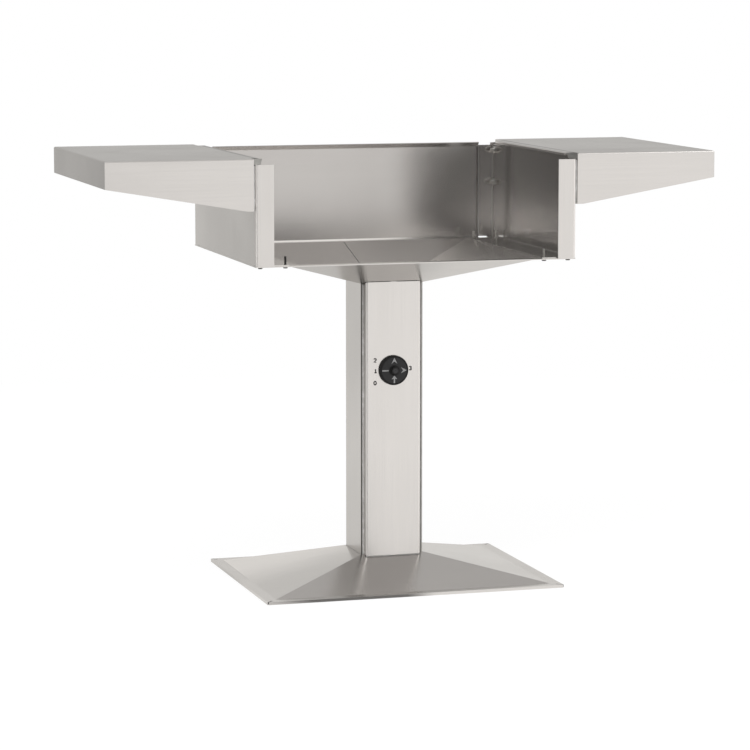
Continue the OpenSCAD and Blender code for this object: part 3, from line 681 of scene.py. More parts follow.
@dataclass(frozen=True)
class Bolt:
    """Hexagon bolt with a rolled thread and, where it has one, a plain shoulder.

    Its head's underside is at the origin and its shank runs along +Z.
    """

    size: float
    pitch: float
    length: float
    flats_share: float = 1.65
    head_share: float = 0.68
    depth_share: float = 0.61
    turns: int = 24
    steps: int = 6
    shoulder: float = 0.0
    shoulder_h: float = 0.0

    def head_rings(self) -> list[list[Vector]]:
        """Rings of the hexagon head, with its turned chamfer.

        Returns:
            The rings, from the free end to the seat.
        """
        flat = self.size * self.flats_share / 2
        height = self.size * self.head_share
        corner = flat / math.cos(math.pi / 6)
        rings = []
        for level in (0.0, 0.04, 0.1, 0.18, 0.28, 0.4, 1.0):
            cone = flat * 0.97 + (corner * 1.02 - flat * 0.97) * min(1.0, level / 0.34) ** 0.9
            ring = []
            for i in range(60):
                turn = 2 * math.pi * i / 60
                off = (turn + math.pi / 6) % (math.pi / 3) - math.pi / 6
                reach = min(flat / math.cos(off), cone)
                ring.append(Vector((reach * math.cos(turn), reach * math.sin(turn), height * (level - 1))))
            rings.append(ring)
        return rings

    def thread_rings(self) -> list[list[Vector]]:
        """Rings of the threaded shank.

        Returns:
            The rings, from the seat to the free end.
        """
        radius = self.size / 2 * 0.995
        deep = self.pitch * self.depth_share
        count = max(2, round(self.length / self.pitch * self.steps))
        rings = []
        for k in range(count + 1):
            z = self.length * k / count
            ring = []
            for i in range(self.turns):
                turn = 2 * math.pi * i / self.turns
                phase = (z / self.pitch - i / self.turns) % 1.0
                flank = min(1.0, max(0.0, (abs(phase - 0.5) - 0.06) / 0.32))
                reach = radius - deep * (1 - flank)
                reach = min(reach, radius - deep * 1.1 + (self.length - z))
                reach = self.shoulder if z < self.shoulder_h else reach
                ring.append(Vector((reach * math.cos(turn), reach * math.sin(turn), z)))
            rings.append(ring)
        return rings

    def add_to(self, mesh: bmesh.types.BMesh, place: Matrix) -> None:
        """Adds one bolt to a mesh.

        Args:
            mesh: The mesh that takes it.
            place: Where it goes.
        """
        for rings in (self.head_rings(), self.thread_rings()):
            skin_rings(mesh, [[place @ p for p in ring] for ring in rings])


@dataclass(frozen=True)
class Seal:
    """Upright rubber strip with a rounded face that closes a narrow gap."""

    x: Flat
    y: Flat
    z: Flat
    end_share: float = 0.75
    crown_share: float = 0.6
    step: float = 12 * MM

    def add_to(self, mesh: bmesh.types.BMesh) -> None:
        """Adds the strip to a mesh.

        Args:
            mesh: The mesh that takes it.
        """
        half = abs(self.x[1] - self.x[0]) / 2
        middle = (self.x[0] + self.x[1]) / 2
        front, back = self.y
        count = max(8, round((self.z[1] - self.z[0]) / self.step))
        rings = []
        for k in range(count + 1):
            z = self.z[0] + (self.z[1] - self.z[0]) * k / count
            reach = half * (self.end_share if k in (0, count) else 1.0)
            ring = []
            for i in range(9):
                turn = math.pi * i / 8
                crown = front + half * self.crown_share * (1 - math.sin(turn))
                ring.append(Vector((middle - reach * math.cos(turn), crown, z)))
            ring += [Vector((middle + sign * reach, back, z)) for sign in (1, -1)]
            rings.append(ring)
        skin_rings(mesh, rings)


def is_upright_bend(centre: Vector, normal: Vector) -> bool:
    """Whether a face is part of an upright bend, between a front face and a side face."""
    return abs(normal.x) > 0.12 and normal.y < -0.12 and abs(normal.z) < 0.2


@dataclass(frozen=True)
class Strip:
    """Narrow strip of constant section that runs level along X or along Y."""

    axis: Grain
    run: Flat
    section: tuple[Flat, ...]
    end_share: float = 0.7
    step: float = 10 * MM

    def add_to(self, mesh: bmesh.types.BMesh, sign: int = 1) -> None:
        """Adds the strip to a mesh.

        Args:
            mesh: The mesh that takes it.
            sign: -1 mirrors the places across its run.
        """
        count = max(8, round((self.run[1] - self.run[0]) / self.step))
        middle = [sum(point[i] for point in self.section) / len(self.section) for i in range(2)]
        rings = []
        for k in range(count + 1):
            place = self.run[0] + (self.run[1] - self.run[0]) * k / count
            share = self.end_share if k in (0, count) else 1.0
            ring = []
            for point in self.section:
                off, level = (middle[i] + (point[i] - middle[i]) * share for i in range(2))
                off *= sign
                ring.append(Vector((place, off, level) if self.axis is Grain.ACROSS else (off, place, level)))
            rings.append(ring)
        skin_rings(mesh, rings)


def upright(turned: bool = False) -> Matrix:
    """A bolt that points up, or down if it is turned.

    Args:
        turned: Whether its shank points down.

    Returns:
        The rotation.
    """
    return Matrix.Rotation(math.pi, 4, "X") if turned else Matrix.Identity(4)


def sideways(sign: int) -> Matrix:
    """A bolt whose shank points along X.

    Args:
        sign: 1 for +X and -1 for -X.

    Returns:
        The rotation.
    """
    return Matrix.Rotation(sign * math.pi / 2, 4, "Y")


def bolt_set(
    shop: Workshop,
    name: str,
    bolt: Bolt,
    turn: Matrix,
    places: Sequence[Point],
    node: str,
    finish: Finish = SCREW,
) -> bpy.types.Object:
    """Builds the bolts that stand for one node.

    Args:
        shop: The workshop.
        name: The new piece's name.
        bolt: The bolt.
        turn: Its direction.
        places: Where the heads seat.
        node: The node that the piece stands for.
        finish: Their finish.

    Returns:
        The piece.
    """
    mesh = bmesh.new()
    for place in places:
        bolt.add_to(mesh, Matrix.Translation(place) @ turn)
    made = shop.piece(name, mesh, finish, Body.PEDESTAL, angle=24.0)
    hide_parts(node)
    return made


@dataclass(frozen=True)
class Weld:
    """A weld bead with overlapping scales, between two sheets that meet at right angles."""

    width: float = 4 * MM
    scale: float = 1.6 * MM

    def add_to(self, mesh: bmesh.types.BMesh, start: Vector, end: Vector, up: Vector, side: Vector) -> None:
        """Adds a bead from one point to another.

        Args:
            mesh: The mesh that takes it.
            start: Where the bead starts, in the corner.
            end: Where it ends.
            up: Direction of the one sheet away from the corner.
            side: Direction of the other sheet away from the corner.
        """
        run = end - start
        count = max(4, round(run.length / self.scale)) * 4
        rings = []
        for k in range(count + 1):
            share = k / count
            wave = 0.86 + 0.14 * abs(math.sin(math.pi * k / 4))
            close = min(1.0, 6 * min(share, 1 - share) * run.length / self.width / 2 + 0.12)
            leg = self.width * wave * close
            centre = start + run * share
            ring = [centre - 0.05 * leg * (up + side)]
            for i in range(5):
                turn = math.pi / 2 * i / 4
                bulge = 0.62 + 0.38 * abs(math.cos(2 * turn))
                ring.append(centre + leg * bulge * (math.cos(turn) * side + math.sin(turn) * up))
            rings.append(ring)
        skin_rings(mesh, rings)


@dataclass
class Plinth:
    """Hipped cover on the ground, with the plate and ribs that carry the column under it."""

    column_w: float = 134 * MM
    column_d: float = 116 * MM
    plate_top: float = 10 * MM
    weld_length: float = 22 * MM
    side_welds: Flat = (-28 * MM, 28 * MM)
    back_welds: Point = (-48 * MM, 0.0, 48 * MM)
    flange_top: float = 6 * MM
    apron_y: float = -225 * MM
    corner: Flat = (315.6 * MM, 242.9 * MM)
    slot_run: Flat = (0.5 * MM, 15 * MM)
    slot_w: float = 2.2 * MM
    slot_z: Flat = (1.2 * MM, 5.9 * MM)
    slot_sag: float = 0.25 * MM
    slot_dip: float = 0.15 * MM

    def build(self, shop: Workshop) -> None:
        """Dresses the plinth, welds the column's foot and fills the slots in the corners with dark strips of
        painted shade.

        Args:
            shop: The workshop.
        """
        low = self.flange_top + 0.1 * MM
        shop.dress(SHEET, "plinth_cover")
        # Painted light and shade: a lit copy on the left slopes that darkens towards the front, and their own
        # tones on the front slope and on the front apron.
        shop.retouch("plinth_cover", SHEET_RISE_LIT, lambda centre, normal: normal.x < -0.05 and normal.z > 0.3)
        shop.retouch("plinth_cover", SHEET_SLOPE, lambda centre, normal: normal.y < -0.05 and normal.z > 0.3)
        shop.retouch(
            "plinth_cover", SHEET_APRON, lambda centre, normal: centre.y < self.apron_y and centre.z < low
        )
        shop.dress(PLATE, "ground_plate", "foot_gussets")
        mesh = bmesh.new()
        bead = Weld()
        up = Vector((0, 0, 1))
        for sign in (-1, 1):
            out = Vector((sign, 0, 0))
            for y in self.side_welds:
                start = Vector((sign * self.column_w / 2, y - self.weld_length / 2, self.plate_top))
                bead.add_to(mesh, start, start + Vector((0, self.weld_length, 0)), up, out)
        for x in self.back_welds:
            start = Vector((x - self.weld_length / 4, self.column_d / 2, self.plate_top))
            bead.add_to(mesh, start, start + Vector((self.weld_length / 2, 0, 0)), up, Vector((0, 1, 0)))
        shop.piece("foot_welds", mesh, BEAD, Body.PEDESTAL)
        mesh = bmesh.new()
        for side in Side:
            for sign in (-1, 1):
                self.fill_slot(mesh, Vector((side.value * self.corner[0], sign * self.corner[1], 0)))
        shop.piece("corner_slot_shade", mesh, SHADE_STRIP, Body.PEDESTAL)

    def fill_slot(self, mesh: bmesh.types.BMesh, tip: Vector) -> None:
        """Adds a dark strip of painted shade in one corner's slot.

        Args:
            mesh: The mesh that takes it.
            tip: The corner's tip on the ground.
        """
        way = -tip.normalized()
        across = Vector((-way.y, way.x, 0)) * (self.slot_w / 2)
        rings = []
        for k in range(9):
            centre = tip + way * (self.slot_run[0] + (self.slot_run[1] - self.slot_run[0]) * k / 8)
            bottom = Vector((0, 0, self.slot_z[0]))
            top = Vector((0, 0, self.slot_z[1] - self.slot_sag * math.sin(math.pi * k / 8)))
            dip = Vector((0, 0, self.slot_dip))
            edges = [centre - across + bottom, centre - across + top]
            rings.append(edges + [centre + top - dip, centre + across + top, centre + across + bottom])
        skin_rings(mesh, rings)


@dataclass
class Column:
    """Channel-shaped column, its head plate and its front panel."""

    deck_top: float = 628 * MM
    washer: float = 1.6 * MM
    bolt: Bolt = field(default_factory=lambda: Bolt(8 * MM, 1.25 * MM, 20.6 * MM))
    bolt_x: float = 51.2 * MM
    bolt_front: float = -13.2 * MM
    bolt_back: float = 42.2 * MM
    seal_x: Flat = (59.5 * MM, 63.9 * MM)
    seal_y: Flat = (-56.5 * MM, -51 * MM)
    seal_z: Flat = (56 * MM, 624 * MM)
    foot: Strip = Strip(
        Grain.ACROSS,
        (-58.5 * MM, 58.5 * MM),
        ((-68.9 * MM, 53.2 * MM), (-68.9 * MM, 55.4 * MM), (-66.2 * MM, 56.3 * MM), (-66.2 * MM, 54.1 * MM)),
    )

    def build(self, shop: Workshop) -> None:
        """Dresses the column, cuts the head bolts and fits the rubber strips round the front panel.

        Args:
            shop: The workshop.
        """
        panel, channel = "column_front_panel", "column_channel"
        shop.dress(SHEET_UPRIGHT, channel)
        # Painted light and shade: the panel and the channel's left flank darken towards their feet, the
        # panel's bends and left return are lit copies, and the channel's cut front edge is a dark copy on the
        # left and a light copy on the right.
        shop.dress(SHEET_PANEL, panel)
        shop.retouch(panel, SHEET_ROUND_HIGHLIGHT, is_upright_bend)
        shop.retouch(panel, SHEET_RETURN_LIT, lambda centre, normal: normal.x < -0.95 and centre.x < -0.05)
        shop.retouch(channel, SHEET_FLANK, lambda centre, normal: normal.x < -0.9 and centre.x < -0.06)
        shop.retouch(channel, CUT_EDGE_SHADE, lambda centre, normal: normal.y < -0.9 and centre.x < -0.05)
        shop.retouch(channel, CUT_EDGE_LIT, lambda centre, normal: normal.y < -0.9 and centre.x > 0.05)
        shop.dress(HEAD, "column_head_plate")
        shop.dress(SCREW, "head_washers", "head_nuts")
        shop.dress(SPRING, "panel_clips")
        places = [
            (x, y, self.deck_top + self.washer)
            for x in (-self.bolt_x, self.bolt_x)
            for y in (self.bolt_front, self.bolt_back)
        ]
        bolt_set(shop, "head_bolts_cut", self.bolt, upright(turned=True), places, "head_bolts")
        mesh = bmesh.new()
        for side in Side:
            x = (side.value * self.seal_x[0], side.value * self.seal_x[1])
            Seal(x, self.seal_y, self.seal_z).add_to(mesh)
        shop.piece("column_seals", mesh, SEAL, Body.PEDESTAL)
        mesh = bmesh.new()
        self.foot.add_to(mesh)
        shop.piece("panel_foot_seal", mesh, FOOT_SEAL, Body.PEDESTAL)


@dataclass
class Tray:
    """Hipped tray that joins the column to the housing."""

    rim_under: float = 683.3 * MM
    bolt: Bolt = field(
        default_factory=lambda: Bolt(5 * MM, 0.8 * MM, 21 * MM, shoulder=3.3 * MM, shoulder_h=4 * MM)
    )
    bolt_x: Flat = (273.8 * MM, 325.6 * MM)
    bolt_y: float = 227.89 * MM
    seam_x: float = -13 * MM
    seam_w: float = 1.36 * MM
    seam_y: Flat = (59 * MM, 258 * MM)
    seam_z: Flat = (628.28 * MM, 685.0 * MM)
    seam_depth: float = 0.4 * MM
    seam_sunk: float = 0.3 * MM
    seam_dip: float = 0.1 * MM
    seam_sag: float = 0.12 * MM
    seam_steps: int = 40

    def build(self, shop: Workshop) -> None:
        """Dresses the tray, cuts the rim bolts and fills the seam.

        Args:
            shop: The workshop.
        """
        shop.dress(SHEET, "support_tray")
        # Painted light and shade: each slope of the tray and its underside is a copy of the steel in its own
        # lightness, some darkening across X.
        finishes: tuple[tuple[Finish, Chooser], ...] = (
            (SHEET_UNDER, lambda centre, normal: normal.z < -0.1 and normal.y < -0.1),
            (SHEET_BOWL, lambda centre, normal: normal.z > 0.1 and abs(normal.x) < 0.05),
            (SHEET_BOWL_FRONT, lambda centre, normal: normal.z > 0.1 and normal.y > 0.05),
            (SHEET_BOWL_LEFT, lambda centre, normal: normal.z > 0.1 and normal.x > 0.05),
            (SHEET_BOWL_RIGHT, lambda centre, normal: normal.z > 0.1 and normal.x < -0.05),
        )
        for finish, chosen in finishes:
            shop.retouch("support_tray", finish, chosen)
        shop.dress(RUBBER, "service_grommet")
        shop.dress(SCREW, "rim_clinch_nuts")
        self.cut_bolts(shop)
        self.fill_seam(shop)

    def cut_bolts(self, shop: Workshop) -> None:
        """Cuts the rim bolts in a darker copy of the screw steel, painted shade, with the right shanks in the
        lighter screw steel, painted light.

        Args:
            shop: The workshop.
        """
        places = [
            (side.value * x, y, self.rim_under)
            for side in Side
            for x in self.bolt_x
            for y in (-self.bolt_y, self.bolt_y)
        ]
        made = bolt_set(shop, "rim_bolts_cut", self.bolt, upright(), places, "rim_bolts", SCREW_SHADED)
        # Painted light: the right shanks get the lighter screw steel.
        made.data.materials.append(SCREW.material())
        for face in made.data.polygons:
            if face.center.x > 0 and face.center.z > self.rim_under + self.bolt.shoulder_h:
                face.material_index = 1

    def fill_seam(self, shop: Workshop) -> None:
        """Fills the seam in the tray's rear slope with a slightly uneven dark strip of painted shade.

        Args:
            shop: The workshop.
        """
        mesh = bmesh.new()
        left, right = self.seam_x - self.seam_w / 2, self.seam_x + self.seam_w / 2
        rings = []
        for k in range(self.seam_steps + 1):
            share = k / self.seam_steps
            y = self.seam_y[0] + (self.seam_y[1] - self.seam_y[0]) * share
            z = self.seam_z[0] + (self.seam_z[1] - self.seam_z[0]) * share - self.seam_sunk
            dip = z - self.seam_dip - self.seam_sag * math.sin(17.0 * share) ** 2
            bottom = z - self.seam_depth
            profile = ((left, bottom), (left, z), (self.seam_x, dip), (right, z), (right, bottom))
            rings.append([Vector((x, y, level)) for x, level in profile])
        skin_rings(mesh, rings)
        shop.piece("tray_seam_shade", mesh, SHADE_STRIP, Body.PEDESTAL)


@dataclass
class Housing:
    """Open-front housing: two channel-shaped side walls and a back wall bolted between them."""

    rim_top: float = 685.3 * MM
    wall_h: float = 202.5 * MM
    bolt_levels: Point = (0.08, 0.5, 0.9)
    bolt_x: float = 298 * MM
    bolt_y: float = 293 * MM
    bolt: Bolt = field(default_factory=lambda: Bolt(6 * MM, 1.0 * MM, 11.8 * MM))
    back_foot: Strip = Strip(
        Grain.ACROSS,
        (-297 * MM, 299 * MM),
        (
            (277 * MM, 685.35 * MM), (277.6 * MM, 688.7 * MM),
            (279.95 * MM, 688.7 * MM), (279.95 * MM, 685.35 * MM),
        ),
    )
    side_foot: Strip = Strip(
        Grain.DEEP,
        (-236 * MM, 245 * MM),
        (
            (337.42 * MM, 685.33 * MM), (337.42 * MM, 688.9 * MM),
            (336.3 * MM, 686.6 * MM), (334.3 * MM, 685.33 * MM),
        ),
    )

    def build(self, shop: Workshop) -> None:
        """Dresses the walls, lays the strips along their feet and cuts the joint bolts.

        Args:
            shop: The workshop.
        """
        # Painted light and shade: darker copies of the steel on the left wall's outside and the right wall's
        # inside, a shade ramp on the back wall and on its lit lip, painted highlights on the front bends and
        # painted shade in the rear bends.
        shop.dress(SHEET_UPRIGHT, "side_wall_left", "side_wall_right")
        shop.retouch("side_wall_left", SHEET_SIDE, lambda centre, normal: normal.x < -0.9)
        shop.retouch("side_wall_right", SHEET_INNER_SHADE, lambda centre, normal: normal.x < -0.9)
        shop.dress(SHEET_BACK, "back_wall")
        shop.retouch("back_wall", SHEET_LIP_LIT, lambda centre, normal: normal.z < -0.3 and normal.y < -0.3)
        for name in ("side_wall_left", "side_wall_right"):
            shop.retouch(name, SHEET_ROUND_HIGHLIGHT, self.is_front_bend)
        for name in ("back_wall", "side_wall_right"):
            shop.retouch(name, SHEET_BEND_SHADE, self.is_rear_bend)
        # Painted light: the back wall's foot strip is a lighter copy of the steel.
        mesh = bmesh.new()
        self.back_foot.add_to(mesh)
        shop.piece("back_foot_bead", mesh, SHEET_FOOT_LIT, Body.PEDESTAL)
        mesh = bmesh.new()
        for side in Side:
            self.side_foot.add_to(mesh, side.value)
        shop.piece("side_foot_seams", mesh, SHEET_SIDE, Body.PEDESTAL)
        shop.dress(DARK_SCREW, "joint_nuts")
        mesh = bmesh.new()
        for side in Side:
            for share in self.bolt_levels:
                place = (side.value * self.bolt_x, self.bolt_y, self.rim_top + self.wall_h * share)
                self.bolt.add_to(mesh, Matrix.Translation(place) @ sideways(side.value))
        made = shop.piece("joint_bolts_cut", mesh, DARK_SCREW, Body.PEDESTAL, angle=24.0)
        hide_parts("joint_bolts")

    def is_front_bend(self, centre: Vector, normal: Vector) -> bool:
        """Whether a face lies in an upright bend at the front of a side wall."""
        return centre.y < -0.2 and is_upright_bend(centre, normal)

    def is_rear_bend(self, centre: Vector, normal: Vector) -> bool:
        """Whether a face lies in one of the upright bends at the right rear corner."""
        return centre.x > 0.28 and centre.y > 0.27 and abs(normal.x) > 0.12 and abs(normal.y) > 0.12


@dataclass
class SideTable:
    """Folded table that hangs on one wall, with its stiffener and its bolts."""

    side: Side
    inner_x: float = 341 * MM
    sheet: float = 1.5 * MM
    bolt_y: Flat = (-221 * MM, 262 * MM)
    bolt_z: Flat = (808 * MM, 878 * MM)
    bolt: Bolt = field(default_factory=lambda: Bolt(8 * MM, 1.25 * MM, 19.4 * MM))
    top: float = 900 * MM
    middle_x: float = 491.25 * MM
    foot_x: float = 30 * MM
    stitch: float = 24 * MM
    stitch_start: float = -190 * MM
    stitch_pitch: float = 125 * MM
    gap_x: Flat = (337.6 * MM, 340.9 * MM)
    seal_y: tuple[Flat, ...] = ((-237.5 * MM, -231 * MM), (271.5 * MM, 278 * MM))
    seal_z: Flat = (798 * MM, 886 * MM)
    corner_x: Flat = (316 * MM, 340.5 * MM)

    def build(self, shop: Workshop) -> None:
        """Dresses one table, cuts its bolts, stitches its stiffener on and seals its gap to the wall.

        Args:
            shop: The workshop.
        """
        word = self.side.word
        table = f"table_{word}"
        shop.dress(SHEET, table)
        # Painted light and shade: the top in its own tone with a painted shade line along its fold, a painted
        # highlight on the front bend, a darker copy on the left end and painted shade on the front corner.
        shop.retouch(table, SHEET_TOP[self.side], lambda centre, normal: normal.z > 0.9)
        shop.retouch(table, SHEET_EDGE_HIGHLIGHT, lambda centre, normal: normal.y < -0.2 and normal.z > 0.2)
        shop.retouch(table, SHEET_END_SHADE, lambda centre, normal: normal.x < -0.9 and centre.x < -0.6)
        shop.retouch(table, CORNER_SHADE, self.is_corner)
        shop.dress(HEAD, f"table_stiffener_{word}")
        shop.dress(SCREW, f"table_spacers_{word}", f"table_nuts_{word}")
        x = self.side.value * (self.inner_x + self.sheet)
        places = [(x, y, z) for y in self.bolt_y for z in self.bolt_z]
        turn = sideways(-self.side.value)
        bolt_set(shop, f"table_bolts_cut_{word}", self.bolt, turn, places, f"table_bolts_{word}")
        self.stitch_stiffener(shop)
        mesh = bmesh.new()
        x = (self.side.value * self.gap_x[0], self.side.value * self.gap_x[1])
        for y in self.seal_y:
            Seal(x, y, self.seal_z).add_to(mesh)
        shop.piece(f"table_seals_{word}", mesh, SEAL, Body.PEDESTAL)

    def is_corner(self, centre: Vector, normal: Vector) -> bool:
        """Whether a face belongs to the table's front corner, which is painted in shade."""
        inside = self.corner_x[0] < abs(centre.x) < self.corner_x[1] and centre.z > 0.88
        return inside and centre.y < -0.2 and normal.y < -0.3

    def stitch_stiffener(self, shop: Workshop) -> None:
        """Lays short beads along both feet of the stiffener.

        Args:
            shop: The workshop.
        """
        mesh = bmesh.new()
        bead = Weld(width=2.2 * MM)
        down = Vector((0, 0, -1))
        for sign in (-1, 1):
            x = self.side.value * self.middle_x + sign * self.foot_x
            for k in range(4):
                y = self.stitch_start + self.stitch_pitch * k
                start = Vector((x, y, self.top - self.sheet))
                bead.add_to(mesh, start, start + Vector((0, self.stitch, 0)), down, Vector((sign, 0, 0)))
        shop.piece(f"stiffener_welds_{self.side.word}", mesh, BEAD, Body.PEDESTAL)


def ribbon(
    mesh: bmesh.types.BMesh, points: Sequence[Flat], width: float, lift: Lift, closed: bool = False
) -> None:
    """Adds a printed stroke of even width.

    Args:
        mesh: The mesh that takes it.
        points: The stroke's centre line, in its own plane.
        width: The stroke's width.
        lift: Turns a place in the plane and a height above it into a point.
        closed: Whether the stroke ends where it starts.
    """
    line = [Vector(p) for p in points]
    count = len(line)
    pairs = []
    for i in range(count):
        before = line[i - 1] if i or closed else line[i]
        after = line[(i + 1) % count] if i < count - 1 or closed else line[i]
        run = (after - before).normalized()
        off = Vector((-run.y, run.x)) * width / 2
        pairs.append((line[i] + off, line[i] - off))
    rings = [[lift(*a, 0.0), lift(*b, 0.0), lift(*b, 1.0), lift(*a, 1.0)] for a, b in pairs]
    skin_rings(mesh, rings + rings[:1] if closed else rings, caps=not closed)
    bmesh.ops.remove_doubles(mesh, verts=mesh.verts[:], dist=1e-7)


def slab(mesh: bmesh.types.BMesh, outline: Sequence[Flat], lift: Lift) -> None:
    """Adds a printed shape from its outline.

    Args:
        mesh: The mesh that takes it.
        outline: The outline's points, in its own plane.
        lift: Turns a place in the plane and a height above it into a point.
    """
    skin_rings(mesh, [[lift(x, z, 0.0) for x, z in outline], [lift(x, z, 1.0) for x, z in outline]])


def bow(centre: Flat, reach: Flat, start: float, end: float, count: int = 14) -> list[Flat]:
    """Points along a part of an ellipse.

    Args:
        centre: The ellipse's centre.
        reach: Its half width and half height.
        start: First angle, in degrees.
        end: Last angle, in degrees.
        count: Number of steps.

    Returns:
        The points.
    """
    turns = [math.radians(start + (end - start) * k / count) for k in range(count + 1)]
    return [(centre[0] + reach[0] * math.cos(t), centre[1] + reach[1] * math.sin(t)) for t in turns]


@dataclass
class Control:
    """Rotary switch with its dial, the dial's marks and the numbers beside it.

    The places of the numbers and the radius and width of each ring are in millimetres from the axis.
    """

    height: float = 445 * MM
    dial_face: float = -77.8 * MM
    panel_face: float = -70 * MM
    dial_sunk: float = 0.02 * MM
    panel_sunk: float = 0.01 * MM
    ink: float = 0.06 * MM
    number_h: float = 7.4 * MM
    number_w: float = 5.0 * MM
    stroke: float = 2.5 * MM
    places: tuple[Flat, ...] = ((-39.6, -26.0), (-38.4, -0.6), (-39.6, 21.4), (36.6, 2.6))
    rings: tuple[Flat, ...] = ((29.0, 2.2), (9.6, 3.6))

    def build(self, shop: Workshop) -> None:
        """Dresses the switch and knob, and prints their marks.

        Args:
            shop: The workshop.
        """
        shop.dress(CASE, "switch_housing")
        shop.dress(CONTACT, "switch_terminals")
        shop.dress(SCREW, "switch_mounting_nut", "control_spindle", "knob_grub_screw")
        shop.dress(DIAL, "control_knob")
        shop.retouch("control_knob", DIAL_RIM_AND_SHADE, lambda centre, normal: normal.y > -0.95)
        shop.dress(CAP, "knob_cap")
        self.print_dial(shop)
        self.print_numbers(shop)

    def on_dial(self, x: float, z: float, up: float) -> Vector:
        """A point on the dial's face.

        Args:
            x: Place to the right of the axis, in millimetres.
            z: Place above the axis, in millimetres.
            up: 0 on the face, 1 on top of the ink.

        Returns:
            The point.
        """
        depth = self.dial_face + self.dial_sunk - up * self.ink * 2
        return Vector((x * MM, depth, self.height + z * MM))

    def print_dial(self, shop: Workshop) -> None:
        """Prints two arrowheads, an arrow and a bar on the dial, and lays two dark rings on it; the inner
        ring is painted shade round the hub.

        Args:
            shop: The workshop.
        """
        mesh = bmesh.new()
        slab(mesh, [(-6.4, 14.0), (0.0, 18.8), (6.4, 14.0), (0.0, 26.6)], self.on_dial)
        slab(mesh, [(14.2, 6.4), (19.0, 0.0), (14.2, -6.4), (26.6, 0.0)], self.on_dial)
        barb = [(-6.4, -18.4), (-1.5, -17.0), (-1.5, -26.2)]
        slab(mesh, barb + [(-x, z) for x, z in barb[::-1]] + [(0.0, -10.8)], self.on_dial)
        slab(mesh, [(-26.2, -1.3), (-12.4, -1.3), (-12.4, 1.3), (-26.2, 1.3)], self.on_dial)
        shop.piece("dial_marks", mesh, MARK, Body.KNOB)
        mesh = bmesh.new()
        # The inner ring is painted shade round the hub.
        for radius, width in self.rings:
            ribbon(mesh, bow((0, 0), (radius, radius), 0, 360, 48)[:-1], width, self.on_dial, closed=True)
        shop.piece("dial_rings", mesh, DIAL_RIM_AND_SHADE, Body.KNOB)

    def print_numbers(self, shop: Workshop) -> None:
        """Prints the numbers 0 to 3 on the front panel.

        Args:
            shop: The workshop.
        """
        wide, tall = self.number_w / MM / 2, self.number_h / MM / 2
        foot = [(-wide, -tall), (wide, -tall)]
        upper = bow((0, tall * 0.5), (wide * 0.92, tall * 0.5), 150, -90)
        lower = bow((0, -tall * 0.48), (wide, tall * 0.52), 90, -150)
        strokes = (
            [bow((0, 0), (wide, tall), 0, 360)[:-1]],
            [[(-wide * 0.8, tall * 0.45), (0.0, tall), (0.0, -tall)], foot],
            [bow((0, tall * 0.45), (wide, tall * 0.55), 170, -35) + foot],
            [upper, lower],
        )
        mesh = bmesh.new()
        for (x, z), lines in zip(self.places, strokes):

            def lift(a: float, b: float, up: float, x: float = x, z: float = z) -> Vector:
                """A point on the panel, near one number."""
                depth = self.panel_face + self.panel_sunk - up * self.ink
                return Vector(((x + a) * MM, depth, self.height + (z + b) * MM))

            for line in lines:
                ribbon(mesh, line, self.stroke / MM, lift, closed=line is strokes[0][0])
        shop.piece("panel_numbers", mesh, INK, Body.PEDESTAL)


